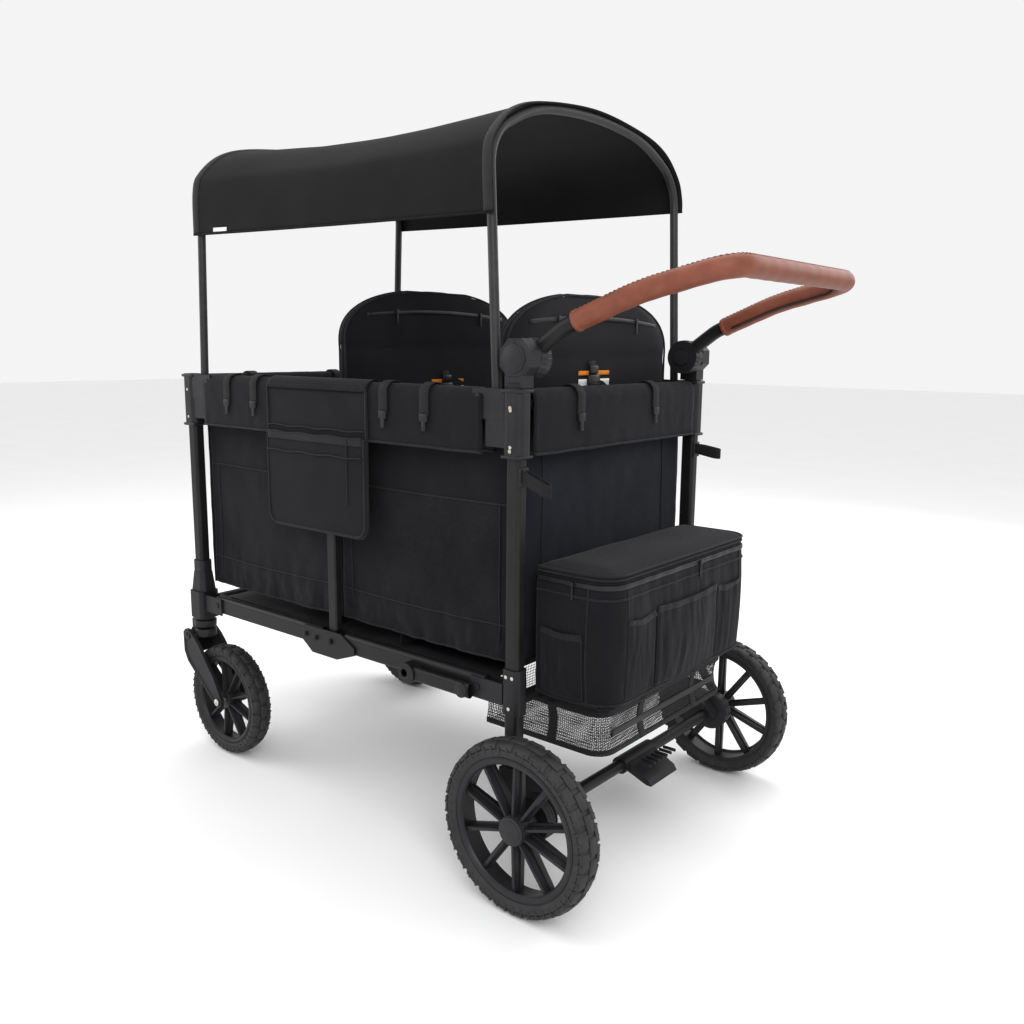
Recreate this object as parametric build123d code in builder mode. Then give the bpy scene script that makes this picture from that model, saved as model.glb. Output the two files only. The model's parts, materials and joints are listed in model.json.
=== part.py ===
from build123d import *
from math import cos, radians, sin
import os

# Four-seat folding pull wagon. Millimetres, +Z up.
# +X points to the push-handle end (rear), -X to the caster end (front), -Y is the side with the pocket.
# The origin is on the floor, at the middle of the whole wagon's bounding box.

os.makedirs("parts", exist_ok=True)

# ---- overall sizes ----
post_span_x = 900.0          # front post centre to rear post centre
post_span_y = 561.0          # left post centre to right post centre
top_rail_z = 823.0
low_rail_z = 334.0
rear_wheel_r = 146.0         # 11.5 inch wheel
rear_wheel_width = 48.0
rear_wheel_outer_y = 370.0
rear_axle_setback = 65.0     # axle behind the rear posts
front_wheel_r = 122.0
front_wheel_width = 44.0
caster_trail = 86.0          # wheel centre behind the swivel axis
handle_run = 331.0           # hub to crossbar, along X
handle_rise = 133.0
handle_width = 445.0         # between the crossbar's two corners
grip_r = 17.0

# ---- tubes, walls and clearances ----
post_x = 28.0
post_y = 24.0
post_corner = 7.0
tube_wall = 1.6
rail_h = 24.0
rail_t = 20.0
low_rail_h = 38.0
low_rail_t = 20.0
slip = 0.2                   # a part sleeved over another in the same body
running = 0.05               # radial clearance of a pin that turns
side_gap = 0.4               # between flat faces that move past each other

# ---- places that follow ----
rear_reach = post_span_x / 2 + handle_run + grip_r
front_reach = -post_span_x / 2 + caster_trail - front_wheel_r
shift = -(rear_reach + front_reach) / 2
mid_x = shift
rear_x = shift + post_span_x / 2
front_x = shift - post_span_x / 2
side_y = post_span_y / 2
pivot_inset = 70.0           # fold pivots inboard of the posts
rail_half = post_span_x / 2 - pivot_inset
rear_pivot_x = mid_x + rail_half
front_pivot_x = mid_x - rail_half
axle_x = rear_x + rear_axle_setback


def save(piece, name):
    """Labels a finished piece and writes its STEP file."""
    piece.part.label = name
    export_step(piece.part, "parts/" + name + ".step")


def both_sides():
    """Adds the mirror image across the wagon's middle plane."""
    mirror(about=Plane.XZ)


def post_tube(x, y, z_low, z_high, wall=tube_wall, mode=Mode.ADD):
    """A post's rounded rectangular tube, standing on z_low."""
    with BuildSketch(Plane.XY.offset(z_low)) as section:
        with Locations((x, y)):
            RectangleRounded(post_x, post_y, post_corner)
            RectangleRounded(post_x - 2 * wall, post_y - 2 * wall, post_corner - wall, mode=Mode.SUBTRACT)
    extrude(section.sketch, amount=z_high - z_low, mode=mode)


def sleeve(x, y, z_low, z_high, wall_x, wall_y):
    """A moulding that fits over a post with the slip clearance."""
    with BuildSketch(Plane.XY.offset(z_low)) as section:
        with Locations((x, y)):
            RectangleRounded(post_x + 2 * wall_x, post_y + 2 * wall_y, post_corner + wall_y)
            RectangleRounded(post_x + 2 * slip, post_y + 2 * slip, post_corner + slip, mode=Mode.SUBTRACT)
    extrude(section.sketch, amount=z_high - z_low)


def side_tube(x_low, x_high, y, z, height, thick, wall=tube_wall):
    """A flat-oval tube that runs along X."""
    with BuildSketch(Plane.YZ.offset(x_low)) as section:
        with Locations((y, z)):
            RectangleRounded(thick, height, thick * 0.45)
            RectangleRounded(thick - 2 * wall, height - 2 * wall, thick * 0.45 - wall, mode=Mode.SUBTRACT)
    extrude(section.sketch, amount=x_high - x_low)


def pin_y(x, z, y_low, y_high, radius, mode=Mode.ADD):
    """A cylinder along Y."""
    with BuildSketch(Plane.XZ.offset(-y_low)) as section:
        with Locations((x, z)):
            Circle(radius)
    extrude(section.sketch, amount=-(y_high - y_low), mode=mode)


def block(x_low, x_high, y_low, y_high, z_low, z_high, mode=Mode.ADD):
    """A box between two corners."""
    with Locations(((x_low + x_high) / 2, (y_low + y_high) / 2, (z_low + z_high) / 2)):
        Box(x_high - x_low, y_high - y_low, z_high - z_low, mode=mode)


# ---- rear posts, their upper collars and lower sleeves ----
rear_post_foot_z = 150.0
post_top_z = top_rail_z + 22
with BuildPart() as rear_posts:
    post_tube(rear_x, side_y, rear_post_foot_z, post_top_z)
    both_sides()
save(rear_posts, "rear_posts")

collar_low_z = top_rail_z - 96
collar_high_z = top_rail_z + 14
collar_wall = 5.0
pole_r = 8.0
pole_x_offset = 42.0         # canopy pole inboard of the post, at rail height
pole_lean = 2.5              # degrees, towards the middle
ear_t = 4.0
ear_gap = rail_t + 2 * side_gap
rail_pin_r = 5.0
socket_low_z = top_rail_z - 80
socket_high_z = top_rail_z - 22
hoop_foot_drop = 72.0        # the hoop's feet stand this far below the rail


def pole_plane(end_x, inward):
    """The leaning plane that holds a hoop: its origin lies between the posts at rail height."""
    lean = radians(pole_lean)
    foot = (end_x + inward * pole_x_offset, 0, top_rail_z)
    return Plane(origin=foot, x_dir=(0, 1, 0), z_dir=(cos(lean), 0, -inward * sin(lean)))


def collar(end_x, inward, y):
    """Upper collar: sleeve round the post, socket for the canopy pole and two ears for the top rail."""
    sleeve(end_x, y, collar_low_z, collar_high_z, collar_wall, collar_wall)
    near_face = end_x + inward * (post_x / 2 + slip + 1)
    pole_x = end_x + inward * (pole_x_offset)
    x_ends = sorted((near_face, pole_x + inward * (pole_r + 5)))
    block(x_ends[0], x_ends[1], y - pole_r - 5, y + pole_r + 5, socket_low_z, socket_high_z)
    lean = radians(pole_lean)
    pole_axis = Plane(origin=(pole_x, y, top_rail_z), x_dir=(0, 1, 0), z_dir=(inward * sin(lean), 0, cos(lean)))
    with BuildSketch(pole_axis.offset(socket_low_z - top_rail_z - 5)) as section:
        Circle(pole_r + slip)
    extrude(section.sketch, amount=top_rail_z - socket_low_z + 5, mode=Mode.SUBTRACT)
    pivot_x = end_x + inward * pivot_inset
    ear_x = sorted((near_face, pivot_x + inward * 12))
    for ear_y in (y - ear_gap / 2 - ear_t, y + ear_gap / 2):
        block(ear_x[0], ear_x[1], ear_y, ear_y + ear_t, socket_high_z - 14, top_rail_z + 13)
    pin_y(pivot_x, top_rail_z, y - ear_gap / 2 - ear_t - 2, y + ear_gap / 2 + ear_t + 2, rail_pin_r)


with BuildPart() as rear_collars:
    collar(rear_x, -1, side_y)
    both_sides()
save(rear_collars, "rear_collars")

low_sleeve_low = low_rail_z - 34
low_sleeve_high = low_rail_z + 44
low_pin_r = 6.0


def low_clevis(end_x, inward, y):
    """Two ears that hold a lower rail's end on its pivot pin."""
    near_face = end_x + inward * (post_x / 2 + slip + 1)
    pivot_x = end_x + inward * pivot_inset
    ear_x = sorted((near_face, pivot_x + inward * 15))
    gap = low_rail_t + 2 * side_gap
    for ear_y in (y - gap / 2 - ear_t, y + gap / 2):
        block(ear_x[0], ear_x[1], ear_y, ear_y + ear_t, low_rail_z - 20, low_rail_z + 17)
    pin_y(pivot_x, low_rail_z, y - gap / 2 - ear_t - 2, y + gap / 2 + ear_t + 2, low_pin_r)


with BuildPart() as rear_sleeves:
    sleeve(rear_x, side_y, low_sleeve_low, low_sleeve_high, 4, 3)
    low_clevis(rear_x, -1, side_y)
    both_sides()
save(rear_sleeves, "rear_sleeves")

# ---- rear cross tubes, axle and brakes ----
cross_r = 11.0
low_cross_z = low_rail_z - 12
with BuildPart() as rear_cross_tubes:
    half = side_y - post_y / 2 - collar_wall - slip
    pin_y(rear_x, top_rail_z - 10, -half, half, cross_r)
    low_half = side_y - post_y / 2 - 3 - slip
    pin_y(rear_x, low_cross_z, -low_half, low_half, cross_r)
save(rear_cross_tubes, "rear_cross_tubes")

axle_r = 11.0
axle_z = rear_wheel_r
wheel_inner_y = rear_wheel_outer_y - rear_wheel_width
stub_r = 8.0
rear_hub_inner_y = wheel_inner_y - 4
with BuildPart() as rear_axle:
    pin_y(axle_x, axle_z, -rear_hub_inner_y + side_gap, rear_hub_inner_y - side_gap, axle_r)
    pin_y(axle_x, axle_z, -rear_wheel_outer_y + 6, rear_wheel_outer_y - 6, stub_r)
save(rear_axle, "rear_axle")

bracket_y = post_y + 8
with BuildPart() as axle_brackets:
    with BuildSketch(Plane.XZ.offset(-(side_y - bracket_y / 2))):
        with BuildLine():
            Polyline((rear_x - post_x / 2 - 5, axle_z + 62), (rear_x - post_x / 2 - 5, axle_z - 14),
                     (axle_x, axle_z - 24), (axle_x + 24, axle_z), (axle_x, axle_z + 24),
                     (rear_x + post_x / 2 + 5, axle_z + 62), close=True)
        make_face()
    extrude(amount=-bracket_y)
    fillet(axle_brackets.edges().filter_by(Axis.Y), 4)
    with BuildSketch(Plane.XY.offset(rear_post_foot_z)):
        with Locations((rear_x, side_y)):
            RectangleRounded(post_x + 2 * slip, post_y + 2 * slip, post_corner + slip)
    extrude(amount=rear_wheel_r, mode=Mode.SUBTRACT)
    pin_y(axle_x, axle_z, side_y - bracket_y, side_y + bracket_y, axle_r + slip, mode=Mode.SUBTRACT)
    both_sides()
save(axle_brackets, "axle_brackets")

drum_r = 37.0
with BuildPart() as brake_housings:
    drum_low = side_y + bracket_y / 2 + side_gap
    pin_y(axle_x, axle_z, drum_low, rear_hub_inner_y - 2 * side_gap, drum_r)
    pin_y(axle_x, axle_z, drum_low - 1, rear_hub_inner_y + 1, axle_r + slip, mode=Mode.SUBTRACT)
    both_sides()
save(brake_housings, "brake_housings")

pedal_half = 52.0
with BuildPart() as brake_pedal:
    pin_y(axle_x, axle_z, -pedal_half, pedal_half, axle_r + 5)
    with BuildSketch(Plane.XZ.offset(pedal_half - 6)):
        with BuildLine():
            Polyline((axle_x, axle_z + axle_r + 4), (axle_x + 58, axle_z - 14), (axle_x + 64, axle_z - 24),
                     (axle_x + 54, axle_z - 24), (axle_x, axle_z - 4), close=True)
        make_face()
    extrude(amount=-2 * (pedal_half - 6))
    pin_y(axle_x, axle_z, -pedal_half - 1, pedal_half + 1, axle_r + running, mode=Mode.SUBTRACT)
save(brake_pedal, "brake_pedal")

# ---- handle pivots, handle, grip and buttons ----
handle_hub_z = top_rail_z + 60
hub_r = 34.0
hub_outer_y = side_y + 11
hub_split_y = side_y - 19
hub_inner_y = side_y - 47
hub_pin_r = 9.0
with BuildPart() as hub_shells:
    with BuildSketch(Plane.XZ.offset(-hub_split_y)):
        with Locations((rear_x, handle_hub_z)):
            RegularPolygon(hub_r, 8, rotation=22.5)
    extrude(amount=-(hub_outer_y - hub_split_y))
    chamfer(hub_shells.faces().sort_by(Axis.Y)[-1].edges(), 4)
    block(rear_x - post_x / 2 - 4, rear_x + post_x / 2 + 4, hub_split_y + 1, hub_outer_y - 1,
          top_rail_z + 15, handle_hub_z - hub_r / 2)
    with BuildSketch(Plane.XY.offset(top_rail_z)):
        with Locations((rear_x, side_y)):
            RectangleRounded(post_x + 2 * slip, post_y + 2 * slip, post_corner + slip)
    extrude(amount=post_top_z - top_rail_z + slip, mode=Mode.SUBTRACT)
    pin_y(rear_x, handle_hub_z, hub_inner_y + 12, hub_split_y, hub_pin_r)
    both_sides()
save(hub_shells, "hub_shells")

tube_r = 13.0
button_r = 15.0
button_travel = 3.0
button_proud = 5.0
arm_y = side_y - 33
with BuildPart() as handle_hubs:
    pin_y(rear_x, handle_hub_z, hub_inner_y, hub_split_y - side_gap, hub_r - 2)
    pin_y(rear_x, handle_hub_z, hub_inner_y + 10, hub_split_y, hub_pin_r + running, mode=Mode.SUBTRACT)
    pin_y(rear_x, handle_hub_z, hub_inner_y - 1, hub_inner_y + button_travel + 2, button_r + side_gap,
          mode=Mode.SUBTRACT)
    both_sides()
save(handle_hubs, "handle_hubs")

for side, name in ((-1, "near"), (1, "far")):
    with BuildPart() as handle_button:
        face_y = sorted((side * (hub_inner_y - button_proud), side * (hub_inner_y + 1)))
        pin_y(rear_x, handle_hub_z, face_y[0], face_y[1], button_r)
    save(handle_button, "handle_button_" + name)

corner_y = handle_width / 2
hub_point = (rear_x + 19, arm_y, handle_hub_z + 17)
knee_point = (rear_x + 66, arm_y - 2, handle_hub_z + 50)
sway_point = (rear_x + 190, arm_y - 12, handle_hub_z + handle_rise - 34)
corner_point = (rear_x + handle_run, corner_y, handle_hub_z + handle_rise)
corner_radius = 46.0


def other_side(point):
    return (point[0], -point[1], point[2])


with BuildPart() as handle_tube:
    near_half = [hub_point, knee_point, sway_point, corner_point]
    with BuildLine() as handle_line:
        FilletPolyline(*near_half, *[other_side(p) for p in reversed(near_half)],
                       radius=[110, 500, corner_radius, corner_radius, 500, 110])
    with BuildSketch(Plane(origin=handle_line.line @ 0, z_dir=handle_line.line % 0)):
        Circle(tube_r)
    sweep(path=handle_line.line)
save(handle_tube, "handle_tube")

grip_start = 0.14            # share of the run from knee to sway point
grip_point = tuple(knee_point[i] + grip_start * (sway_point[i] - knee_point[i]) for i in range(3))
with BuildPart() as handle_grip:
    grip_half = [grip_point, sway_point, corner_point]
    with BuildLine() as grip_line:
        FilletPolyline(*grip_half, *[other_side(p) for p in reversed(grip_half)],
                       radius=[500, corner_radius, corner_radius, 500])
    with BuildSketch(Plane(origin=grip_line.line @ 0, z_dir=grip_line.line % 0)):
        Circle(grip_r)
        Circle(tube_r + slip, mode=Mode.SUBTRACT)
    sweep(path=grip_line.line)
save(handle_grip, "handle_grip")

# ---- rear wheels ----
def wheel_rim(x, z, y_low, y_high, rim_r, hub_radius, bore, spokes):
    """Rim ring, hub and deep thin spokes, on an axle along Y."""
    centre = (x, z)
    depth = y_high - y_low
    with BuildSketch(Plane.XZ.offset(-y_low)) as section:
        with Locations(centre):
            Circle(rim_r)
            Circle(rim_r - 9, mode=Mode.SUBTRACT)
            Circle(hub_radius)
            with PolarLocations((rim_r + hub_radius) / 2 - 4, spokes):
                Rectangle(rim_r - hub_radius - 2, 6)
            Circle(bore, mode=Mode.SUBTRACT)
    extrude(section.sketch, amount=-depth)


def wheel_tyre(x, z, y_low, y_high, outer_r, inner_r, lugs):
    """Tyre ring with rounded shoulders and tread blocks cut by cross grooves."""
    shoulder = 9.0
    with BuildSketch(Plane((x, 0, z), x_dir=(1, 0, 0), z_dir=(0, 0, 1))) as section:
        with Locations(((outer_r + inner_r) / 2, (y_low + y_high) / 2)):
            RectangleRounded(outer_r - inner_r, y_high - y_low, shoulder)
    revolve(section.sketch, axis=Axis((x, 0, z), (0, 1, 0)))
    groove_depth = 3.0
    with BuildSketch(Plane.XZ.offset(-y_low + 1)) as section:
        with Locations((x, z)):
            with PolarLocations(outer_r, lugs):
                Rectangle(2 * groove_depth, 4)
    extrude(section.sketch, amount=-(y_high - y_low + 2), mode=Mode.SUBTRACT)


rear_rim_r = rear_wheel_r - 27
tyre_seat = 0.1
front_rim_r = front_wheel_r - 24
for side, name in ((-1, "near"), (1, "far")):
    rear_y = sorted((side * wheel_inner_y, side * rear_wheel_outer_y))
    with BuildPart() as rear_rim:
        wheel_rim(axle_x, axle_z, rear_y[0] + 5, rear_y[1] - 5, rear_rim_r, 25, stub_r + running, 10)
        cap_y = sorted((side * (rear_wheel_outer_y - 5), side * (rear_wheel_outer_y - 1)))
        pin_y(axle_x, axle_z, cap_y[0], cap_y[1], 25)
    save(rear_rim, "rear_rim_" + name)
    with BuildPart() as rear_tyre:
        wheel_tyre(axle_x, axle_z, rear_y[0], rear_y[1], rear_wheel_r, rear_rim_r + tyre_seat, 36)
    save(rear_tyre, "rear_tyre_" + name)

# ---- front posts, collars, sleeves and caster housings ----
swivel_z = low_rail_z - 72   # top face of the swing fork's plate
housing_low = low_rail_z - 38
housing_high = low_rail_z + 23
with BuildPart() as front_posts:
    post_tube(front_x, side_y, housing_high, post_top_z - 10)
    both_sides()
save(front_posts, "front_posts")

with BuildPart() as front_collars:
    collar(front_x, 1, side_y)
    both_sides()
save(front_collars, "front_collars")

with BuildPart() as front_sleeves:
    sleeve(front_x, side_y, housing_high + 0.5, low_rail_z + 92, 4, 3)
    with BuildSketch(Plane.XY.offset(housing_high + 0.5)):
        with Locations((front_x, side_y)):
            RectangleRounded(post_x + 22, post_y + 16, post_corner + 6)
    with BuildSketch(Plane.XY.offset(low_rail_z + 66)):
        with Locations((front_x, side_y)):
            RectangleRounded(post_x + 10, post_y + 8, post_corner + 4)
    loft()
    with BuildSketch(Plane.XY.offset(housing_high)):
        with Locations((front_x, side_y)):
            RectangleRounded(post_x + 2 * slip, post_y + 2 * slip, post_corner + slip)
    extrude(amount=100, mode=Mode.SUBTRACT)
    both_sides()
save(front_sleeves, "front_sleeves")

swivel_r = 8.0
housing_half = 24.0
with BuildPart() as caster_housings:
    block(front_x - housing_half, front_x + housing_half, side_y - housing_half, side_y + housing_half,
          housing_low, housing_high)
    fillet(caster_housings.edges().filter_by(Axis.Z), 10)
    low_clevis(front_x, 1, side_y)
    with BuildSketch(Plane.XY.offset(housing_low - 1)):
        with Locations((front_x, side_y)):
            Circle(swivel_r + running)
    extrude(amount=36, mode=Mode.SUBTRACT)
    both_sides()
save(caster_housings, "caster_housings")

with BuildPart() as front_cross_tubes:
    half = side_y - post_y / 2 - collar_wall - slip
    pin_y(front_x, top_rail_z - 10, -half, half, cross_r)
    low_half = side_y - housing_half
    pin_y(front_x, low_cross_z + 8, -low_half, low_half, cross_r)
save(front_cross_tubes, "front_cross_tubes")

# ---- casters: swivel crown, sprung swing fork, wheel ----
crown_r = 25.0
crown_low = swivel_z - 4
fork_pivot_x = front_x - 24
fork_pivot_z = low_rail_z - 78
fork_pin_r = 5.0
wheel_x = front_x + caster_trail
wheel_z = front_wheel_r
fork_arm_t = 7.0
fork_inner = front_wheel_width / 2 + 6
lug_half = 15.0
front_axle_r = 6.0
for side, name in ((-1, "near"), (1, "far")):
    centre_y = side * side_y
    with BuildPart() as caster_crown:
        with BuildSketch(Plane.XY.offset(crown_low)):
            with Locations((front_x, centre_y)):
                Circle(crown_r - 2)
        with BuildSketch(Plane.XY.offset(housing_low - side_gap)):
            with Locations((front_x, centre_y)):
                Circle(crown_r)
        loft()
        with BuildSketch(Plane.XY.offset(housing_low - 1)):
            with Locations((front_x, centre_y)):
                Circle(swivel_r)
        extrude(amount=32)
        block(fork_pivot_x - 10, front_x, centre_y - lug_half, centre_y + lug_half, fork_pivot_z - 10, housing_low - 6)
        pin_y(fork_pivot_x, fork_pivot_z, centre_y - fork_inner - fork_arm_t - 2,
              centre_y + fork_inner + fork_arm_t + 2, fork_pin_r)
    save(caster_crown, "caster_crown_" + name)

    with BuildPart() as swing_fork:
        for arm_low in (centre_y - fork_inner - fork_arm_t, centre_y + fork_inner):
            with BuildSketch(Plane.XZ.offset(-arm_low)):
                with BuildLine():
                    Polyline((fork_pivot_x - 13, fork_pivot_z + 8), (fork_pivot_x + 6, fork_pivot_z + 13),
                             (front_x + 22, crown_low - 26), (wheel_x + 14, wheel_z + 4),
                             (wheel_x + 6, wheel_z - 14), (wheel_x - 12, wheel_z - 10),
                             (fork_pivot_x - 4, fork_pivot_z - 62), (fork_pivot_x - 13, fork_pivot_z - 10),
                             close=True)
                make_face()
            extrude(amount=-fork_arm_t)
        fillet(swing_fork.edges().filter_by(Axis.Y), 5)
        pin_y(fork_pivot_x, fork_pivot_z, centre_y - fork_inner - fork_arm_t - 1,
              centre_y + fork_inner + fork_arm_t + 1, fork_pin_r + running, mode=Mode.SUBTRACT)
        block(fork_pivot_x - 13, fork_pivot_x - 6, centre_y - fork_inner - 1, centre_y + fork_inner + 1,
              fork_pivot_z - 56, fork_pivot_z - 14)
        pin_y(wheel_x, wheel_z, centre_y - fork_inner - fork_arm_t - 1,
              centre_y + fork_inner + fork_arm_t + 1, front_axle_r + slip, mode=Mode.SUBTRACT)
    save(swing_fork, "swing_fork_" + name)

    with BuildPart() as front_axle:
        pin_y(wheel_x, wheel_z, centre_y - fork_inner - fork_arm_t - 0.5,
              centre_y + fork_inner + fork_arm_t + 0.5, front_axle_r)
        for head_y in (centre_y - fork_inner - fork_arm_t - 5, centre_y + fork_inner + fork_arm_t + 0.5):
            pin_y(wheel_x, wheel_z, head_y, head_y + 4.5, 9)
    save(front_axle, "front_axle_" + name)

    with BuildPart() as front_rim:
        wheel_rim(wheel_x, wheel_z, centre_y - front_wheel_width / 2 + 4, centre_y + front_wheel_width / 2 - 4,
                  front_rim_r, 20, front_axle_r + running, 9)
    save(front_rim, "front_rim_" + name)

    with BuildPart() as front_tyre:
        wheel_tyre(wheel_x, wheel_z, centre_y - front_wheel_width / 2, centre_y + front_wheel_width / 2,
                   front_wheel_r, front_rim_r + tyre_seat, 30)
    save(front_tyre, "front_tyre_" + name)

# ---- folding side rails ----
def pivoted_tube(x_low, x_high, y, z, height, thick, hole_x, hole_r):
    """A rail with a solid plug and a cross hole at its pivot."""
    side_tube(x_low, x_high, y, z, height, thick)
    plug = 16.0
    with BuildSketch(Plane.YZ.offset(max(x_low, hole_x - plug))) as section:
        with Locations((y, z)):
            RectangleRounded(thick - tube_wall, height - tube_wall, thick * 0.4)
    extrude(section.sketch, amount=min(x_high, hole_x + plug) - max(x_low, hole_x - plug))
    pin_y(hole_x, z, y - thick, y + thick, hole_r + running, mode=Mode.SUBTRACT)


end_past_pivot = 11.0
mid_pin_r = 5.0
low_setback = 34.0           # rail ends stop short of the middle pin, so that they clear each other folded
top_setback = 36.0
plate_t = 4.0
tongue_half = 4.5
cheek_low = 5.0              # the upright's cheeks lie between tongue and plates
cheek_high = 8.0
slat_r = 7.0


def tongue(x_rail, z, reach, height, thick):
    """A flat tongue from the rear rail's end to the middle pin, on a plug in the rail."""
    with BuildSketch(Plane.YZ.offset(x_rail)) as section:
        with Locations((side_y, z)):
            RectangleRounded(thick - tube_wall, height - tube_wall, thick * 0.4)
    extrude(section.sketch, amount=12)
    block(mid_x - 1, x_rail + 12, side_y - tongue_half, side_y + tongue_half, z - reach, z + reach)
    pin_y(mid_x, z, side_y - tongue_half, side_y + tongue_half, reach)
    pin_y(mid_x, z, side_y - low_rail_t, side_y + low_rail_t, mid_pin_r + running, mode=Mode.SUBTRACT)


def slats(x_values):
    """Cross slats that join both side rails and carry the floor board."""
    half = side_y - low_rail_t / 2
    for slat_x in x_values:
        pin_y(slat_x, low_rail_z - 2, -half, half, slat_r)


with BuildPart() as low_rear_rails:
    pivoted_tube(mid_x + low_setback, rear_pivot_x + end_past_pivot, side_y, low_rail_z,
                 low_rail_h, low_rail_t, rear_pivot_x, low_pin_r)
    tongue(mid_x + low_setback, low_rail_z, 10, low_rail_h, low_rail_t)
    both_sides()
    slats((mid_x + 110, rear_pivot_x - 80))
save(low_rear_rails, "low_rear_rails")

brace_x_low = mid_x + 226
brace_t = 14.0
brace_y = side_y + low_rail_t / 2 + side_gap + ear_t + 1 + brace_t / 2
with BuildPart() as brace_tubes:
    side_tube(brace_x_low, rear_pivot_x - 8, brace_y, low_rail_z - 8, 26, brace_t)
    pin_y(brace_x_low, low_rail_z - 8, side_y + low_rail_t / 2, brace_y + brace_t / 2 + 3, 19)
    both_sides()
save(brace_tubes, "brace_tubes")

with BuildPart() as low_front_rails:
    pivoted_tube(front_pivot_x - end_past_pivot, mid_x - low_setback, side_y, low_rail_z,
                 low_rail_h, low_rail_t, front_pivot_x, low_pin_r)
    both_sides()
    slats((mid_x - 110, front_pivot_x + 80))
save(low_front_rails, "low_front_rails")

# hexagonal plates each side of a lower rail, fixed to the front half, with the middle pin between them
with BuildPart() as hinge_plates:
    plate_low = low_rail_z - 34
    for plate_y in (side_y - low_rail_t / 2 - plate_t, side_y + low_rail_t / 2):
        with BuildSketch(Plane.XZ.offset(-plate_y)):
            with BuildLine():
                Polyline((mid_x - 92, low_rail_z + 4), (mid_x - 78, low_rail_z + 19), (mid_x + 30, low_rail_z + 19),
                         (mid_x + 68, low_rail_z - 2), (mid_x + 68, low_rail_z - 16), (mid_x + 18, plate_low),
                         (mid_x - 56, plate_low), (mid_x - 92, low_rail_z - 8), close=True)
            make_face()
        extrude(amount=-plate_t)
    pin_y(mid_x, low_rail_z, side_y - low_rail_t / 2 - plate_t, side_y + low_rail_t / 2 + plate_t + 2, mid_pin_r)
    both_sides()
save(hinge_plates, "hinge_plates")

with BuildPart() as top_rear_rails:
    pivoted_tube(mid_x + top_setback, rear_pivot_x + end_past_pivot, side_y, top_rail_z,
                 rail_h, rail_t, rear_pivot_x, rail_pin_r)
    tongue(mid_x + top_setback, top_rail_z, 7, rail_h, rail_t)
    both_sides()
save(top_rear_rails, "top_rear_rails")

# the front top rails: their front pivot is open by the running clearance of an oversize hole
open_pivot = 0.6
top_plate_t = 3.0
with BuildPart() as top_front_rails:
    pivoted_tube(front_pivot_x - end_past_pivot, mid_x - top_setback, side_y, top_rail_z,
                 rail_h, rail_t, front_pivot_x, rail_pin_r + open_pivot)
    for plate_y in (side_y - rail_t / 2 - top_plate_t, side_y + rail_t / 2):
        block(mid_x - 66, mid_x + 10, plate_y, plate_y + top_plate_t, top_rail_z - 10, top_rail_z + 10)
    pin_y(mid_x, top_rail_z, side_y - rail_t / 2 - top_plate_t, side_y + rail_t / 2 + top_plate_t, mid_pin_r)
    both_sides()
save(top_front_rails, "top_front_rails")

# ---- middle uprights, with the cross bar that carries the front seat's back ----
upright_x = 24.0
neck_half = 6.0
upright_low = low_rail_z + 22
upright_high = top_rail_z - 50
seat_bar_z = top_rail_z - 203
seat_bar_r = 9.0
with BuildPart() as mid_uprights:
    with BuildSketch(Plane.XY.offset(upright_low)):
        with Locations((mid_x, side_y)):
            RectangleRounded(upright_x, 2 * cheek_high, 4)
            RectangleRounded(upright_x - 2 * tube_wall, 2 * (cheek_high - tube_wall), 2, mode=Mode.SUBTRACT)
    extrude(amount=upright_high - upright_low)
    for cheek_y in (side_y - cheek_high, side_y + cheek_low):
        cheek_t = cheek_high - cheek_low
        block(mid_x - 9, mid_x + 9, cheek_y, cheek_y + cheek_t, low_rail_z - 8, upright_low + 20)
        block(mid_x - neck_half, mid_x + neck_half, cheek_y, cheek_y + cheek_t, upright_high - 20, top_rail_z + 6.5)
    for pin_z in (low_rail_z, top_rail_z):
        pin_y(mid_x, pin_z, side_y - cheek_high - 1, side_y + cheek_high + 1, mid_pin_r + running, mode=Mode.SUBTRACT)
    both_sides()
    half = side_y - cheek_high
    pin_y(mid_x, seat_bar_z, -half, half, seat_bar_r)
save(mid_uprights, "mid_uprights")

# ---- floor boards, one on each pair of lower rails ----
floor_t = 10.0
floor_half_y = side_y - low_rail_t / 2 - plate_t - 4
floor_z = low_rail_z - 2 + slat_r + side_gap
with BuildPart() as floor_rear:
    block(mid_x + 1, rear_pivot_x + 6, -floor_half_y, floor_half_y, floor_z, floor_z + floor_t)
save(floor_rear, "floor_rear")

with BuildPart() as floor_front:
    block(front_pivot_x - 6, mid_x - 1, -floor_half_y, floor_half_y, floor_z, floor_z + floor_t)
save(floor_front, "floor_front")

# ---- canopy hoops and cloth ----
hoop_crown_rise = 480.0      # rear hoop's crown above the rail
front_hoop_extra = 16.0
shoulder_drop = side_y * 0.278
quarter_drop = side_y * 0.0713
quarter_share = 0.6


def arch_points(rise, grow, left_low, right_low):
    """Outline of a hoop in its leaning plane, moved outwards by grow."""
    wide = side_y + grow
    top = rise + grow
    half = [(-wide, left_low), (-wide, top - shoulder_drop), (-wide * quarter_share, top - quarter_drop)]
    other = [(wide * quarter_share, top - quarter_drop), (wide, top - shoulder_drop), (wide, right_low)]
    return half + [(0, top)] + other


arch_radii = [side_y * share for share in (0.285, 1.06, 3.2, 1.06, 0.285)]
hoops = ((rear_x, -1, hoop_crown_rise, "rear_hoop"),
         (front_x, 1, hoop_crown_rise + front_hoop_extra, "front_hoop"))
for end_x, inward, rise, name in hoops:
    plane = pole_plane(end_x, inward)
    with BuildPart() as hoop:
        with BuildLine(plane) as arch:
            FilletPolyline(*arch_points(rise, 0, -hoop_foot_drop, -hoop_foot_drop), radius=arch_radii)
        with BuildSketch(Plane(origin=arch.line @ 0, z_dir=arch.line % 0)):
            Circle(pole_r)
        sweep(path=arch.line)
    save(hoop, name)

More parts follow.
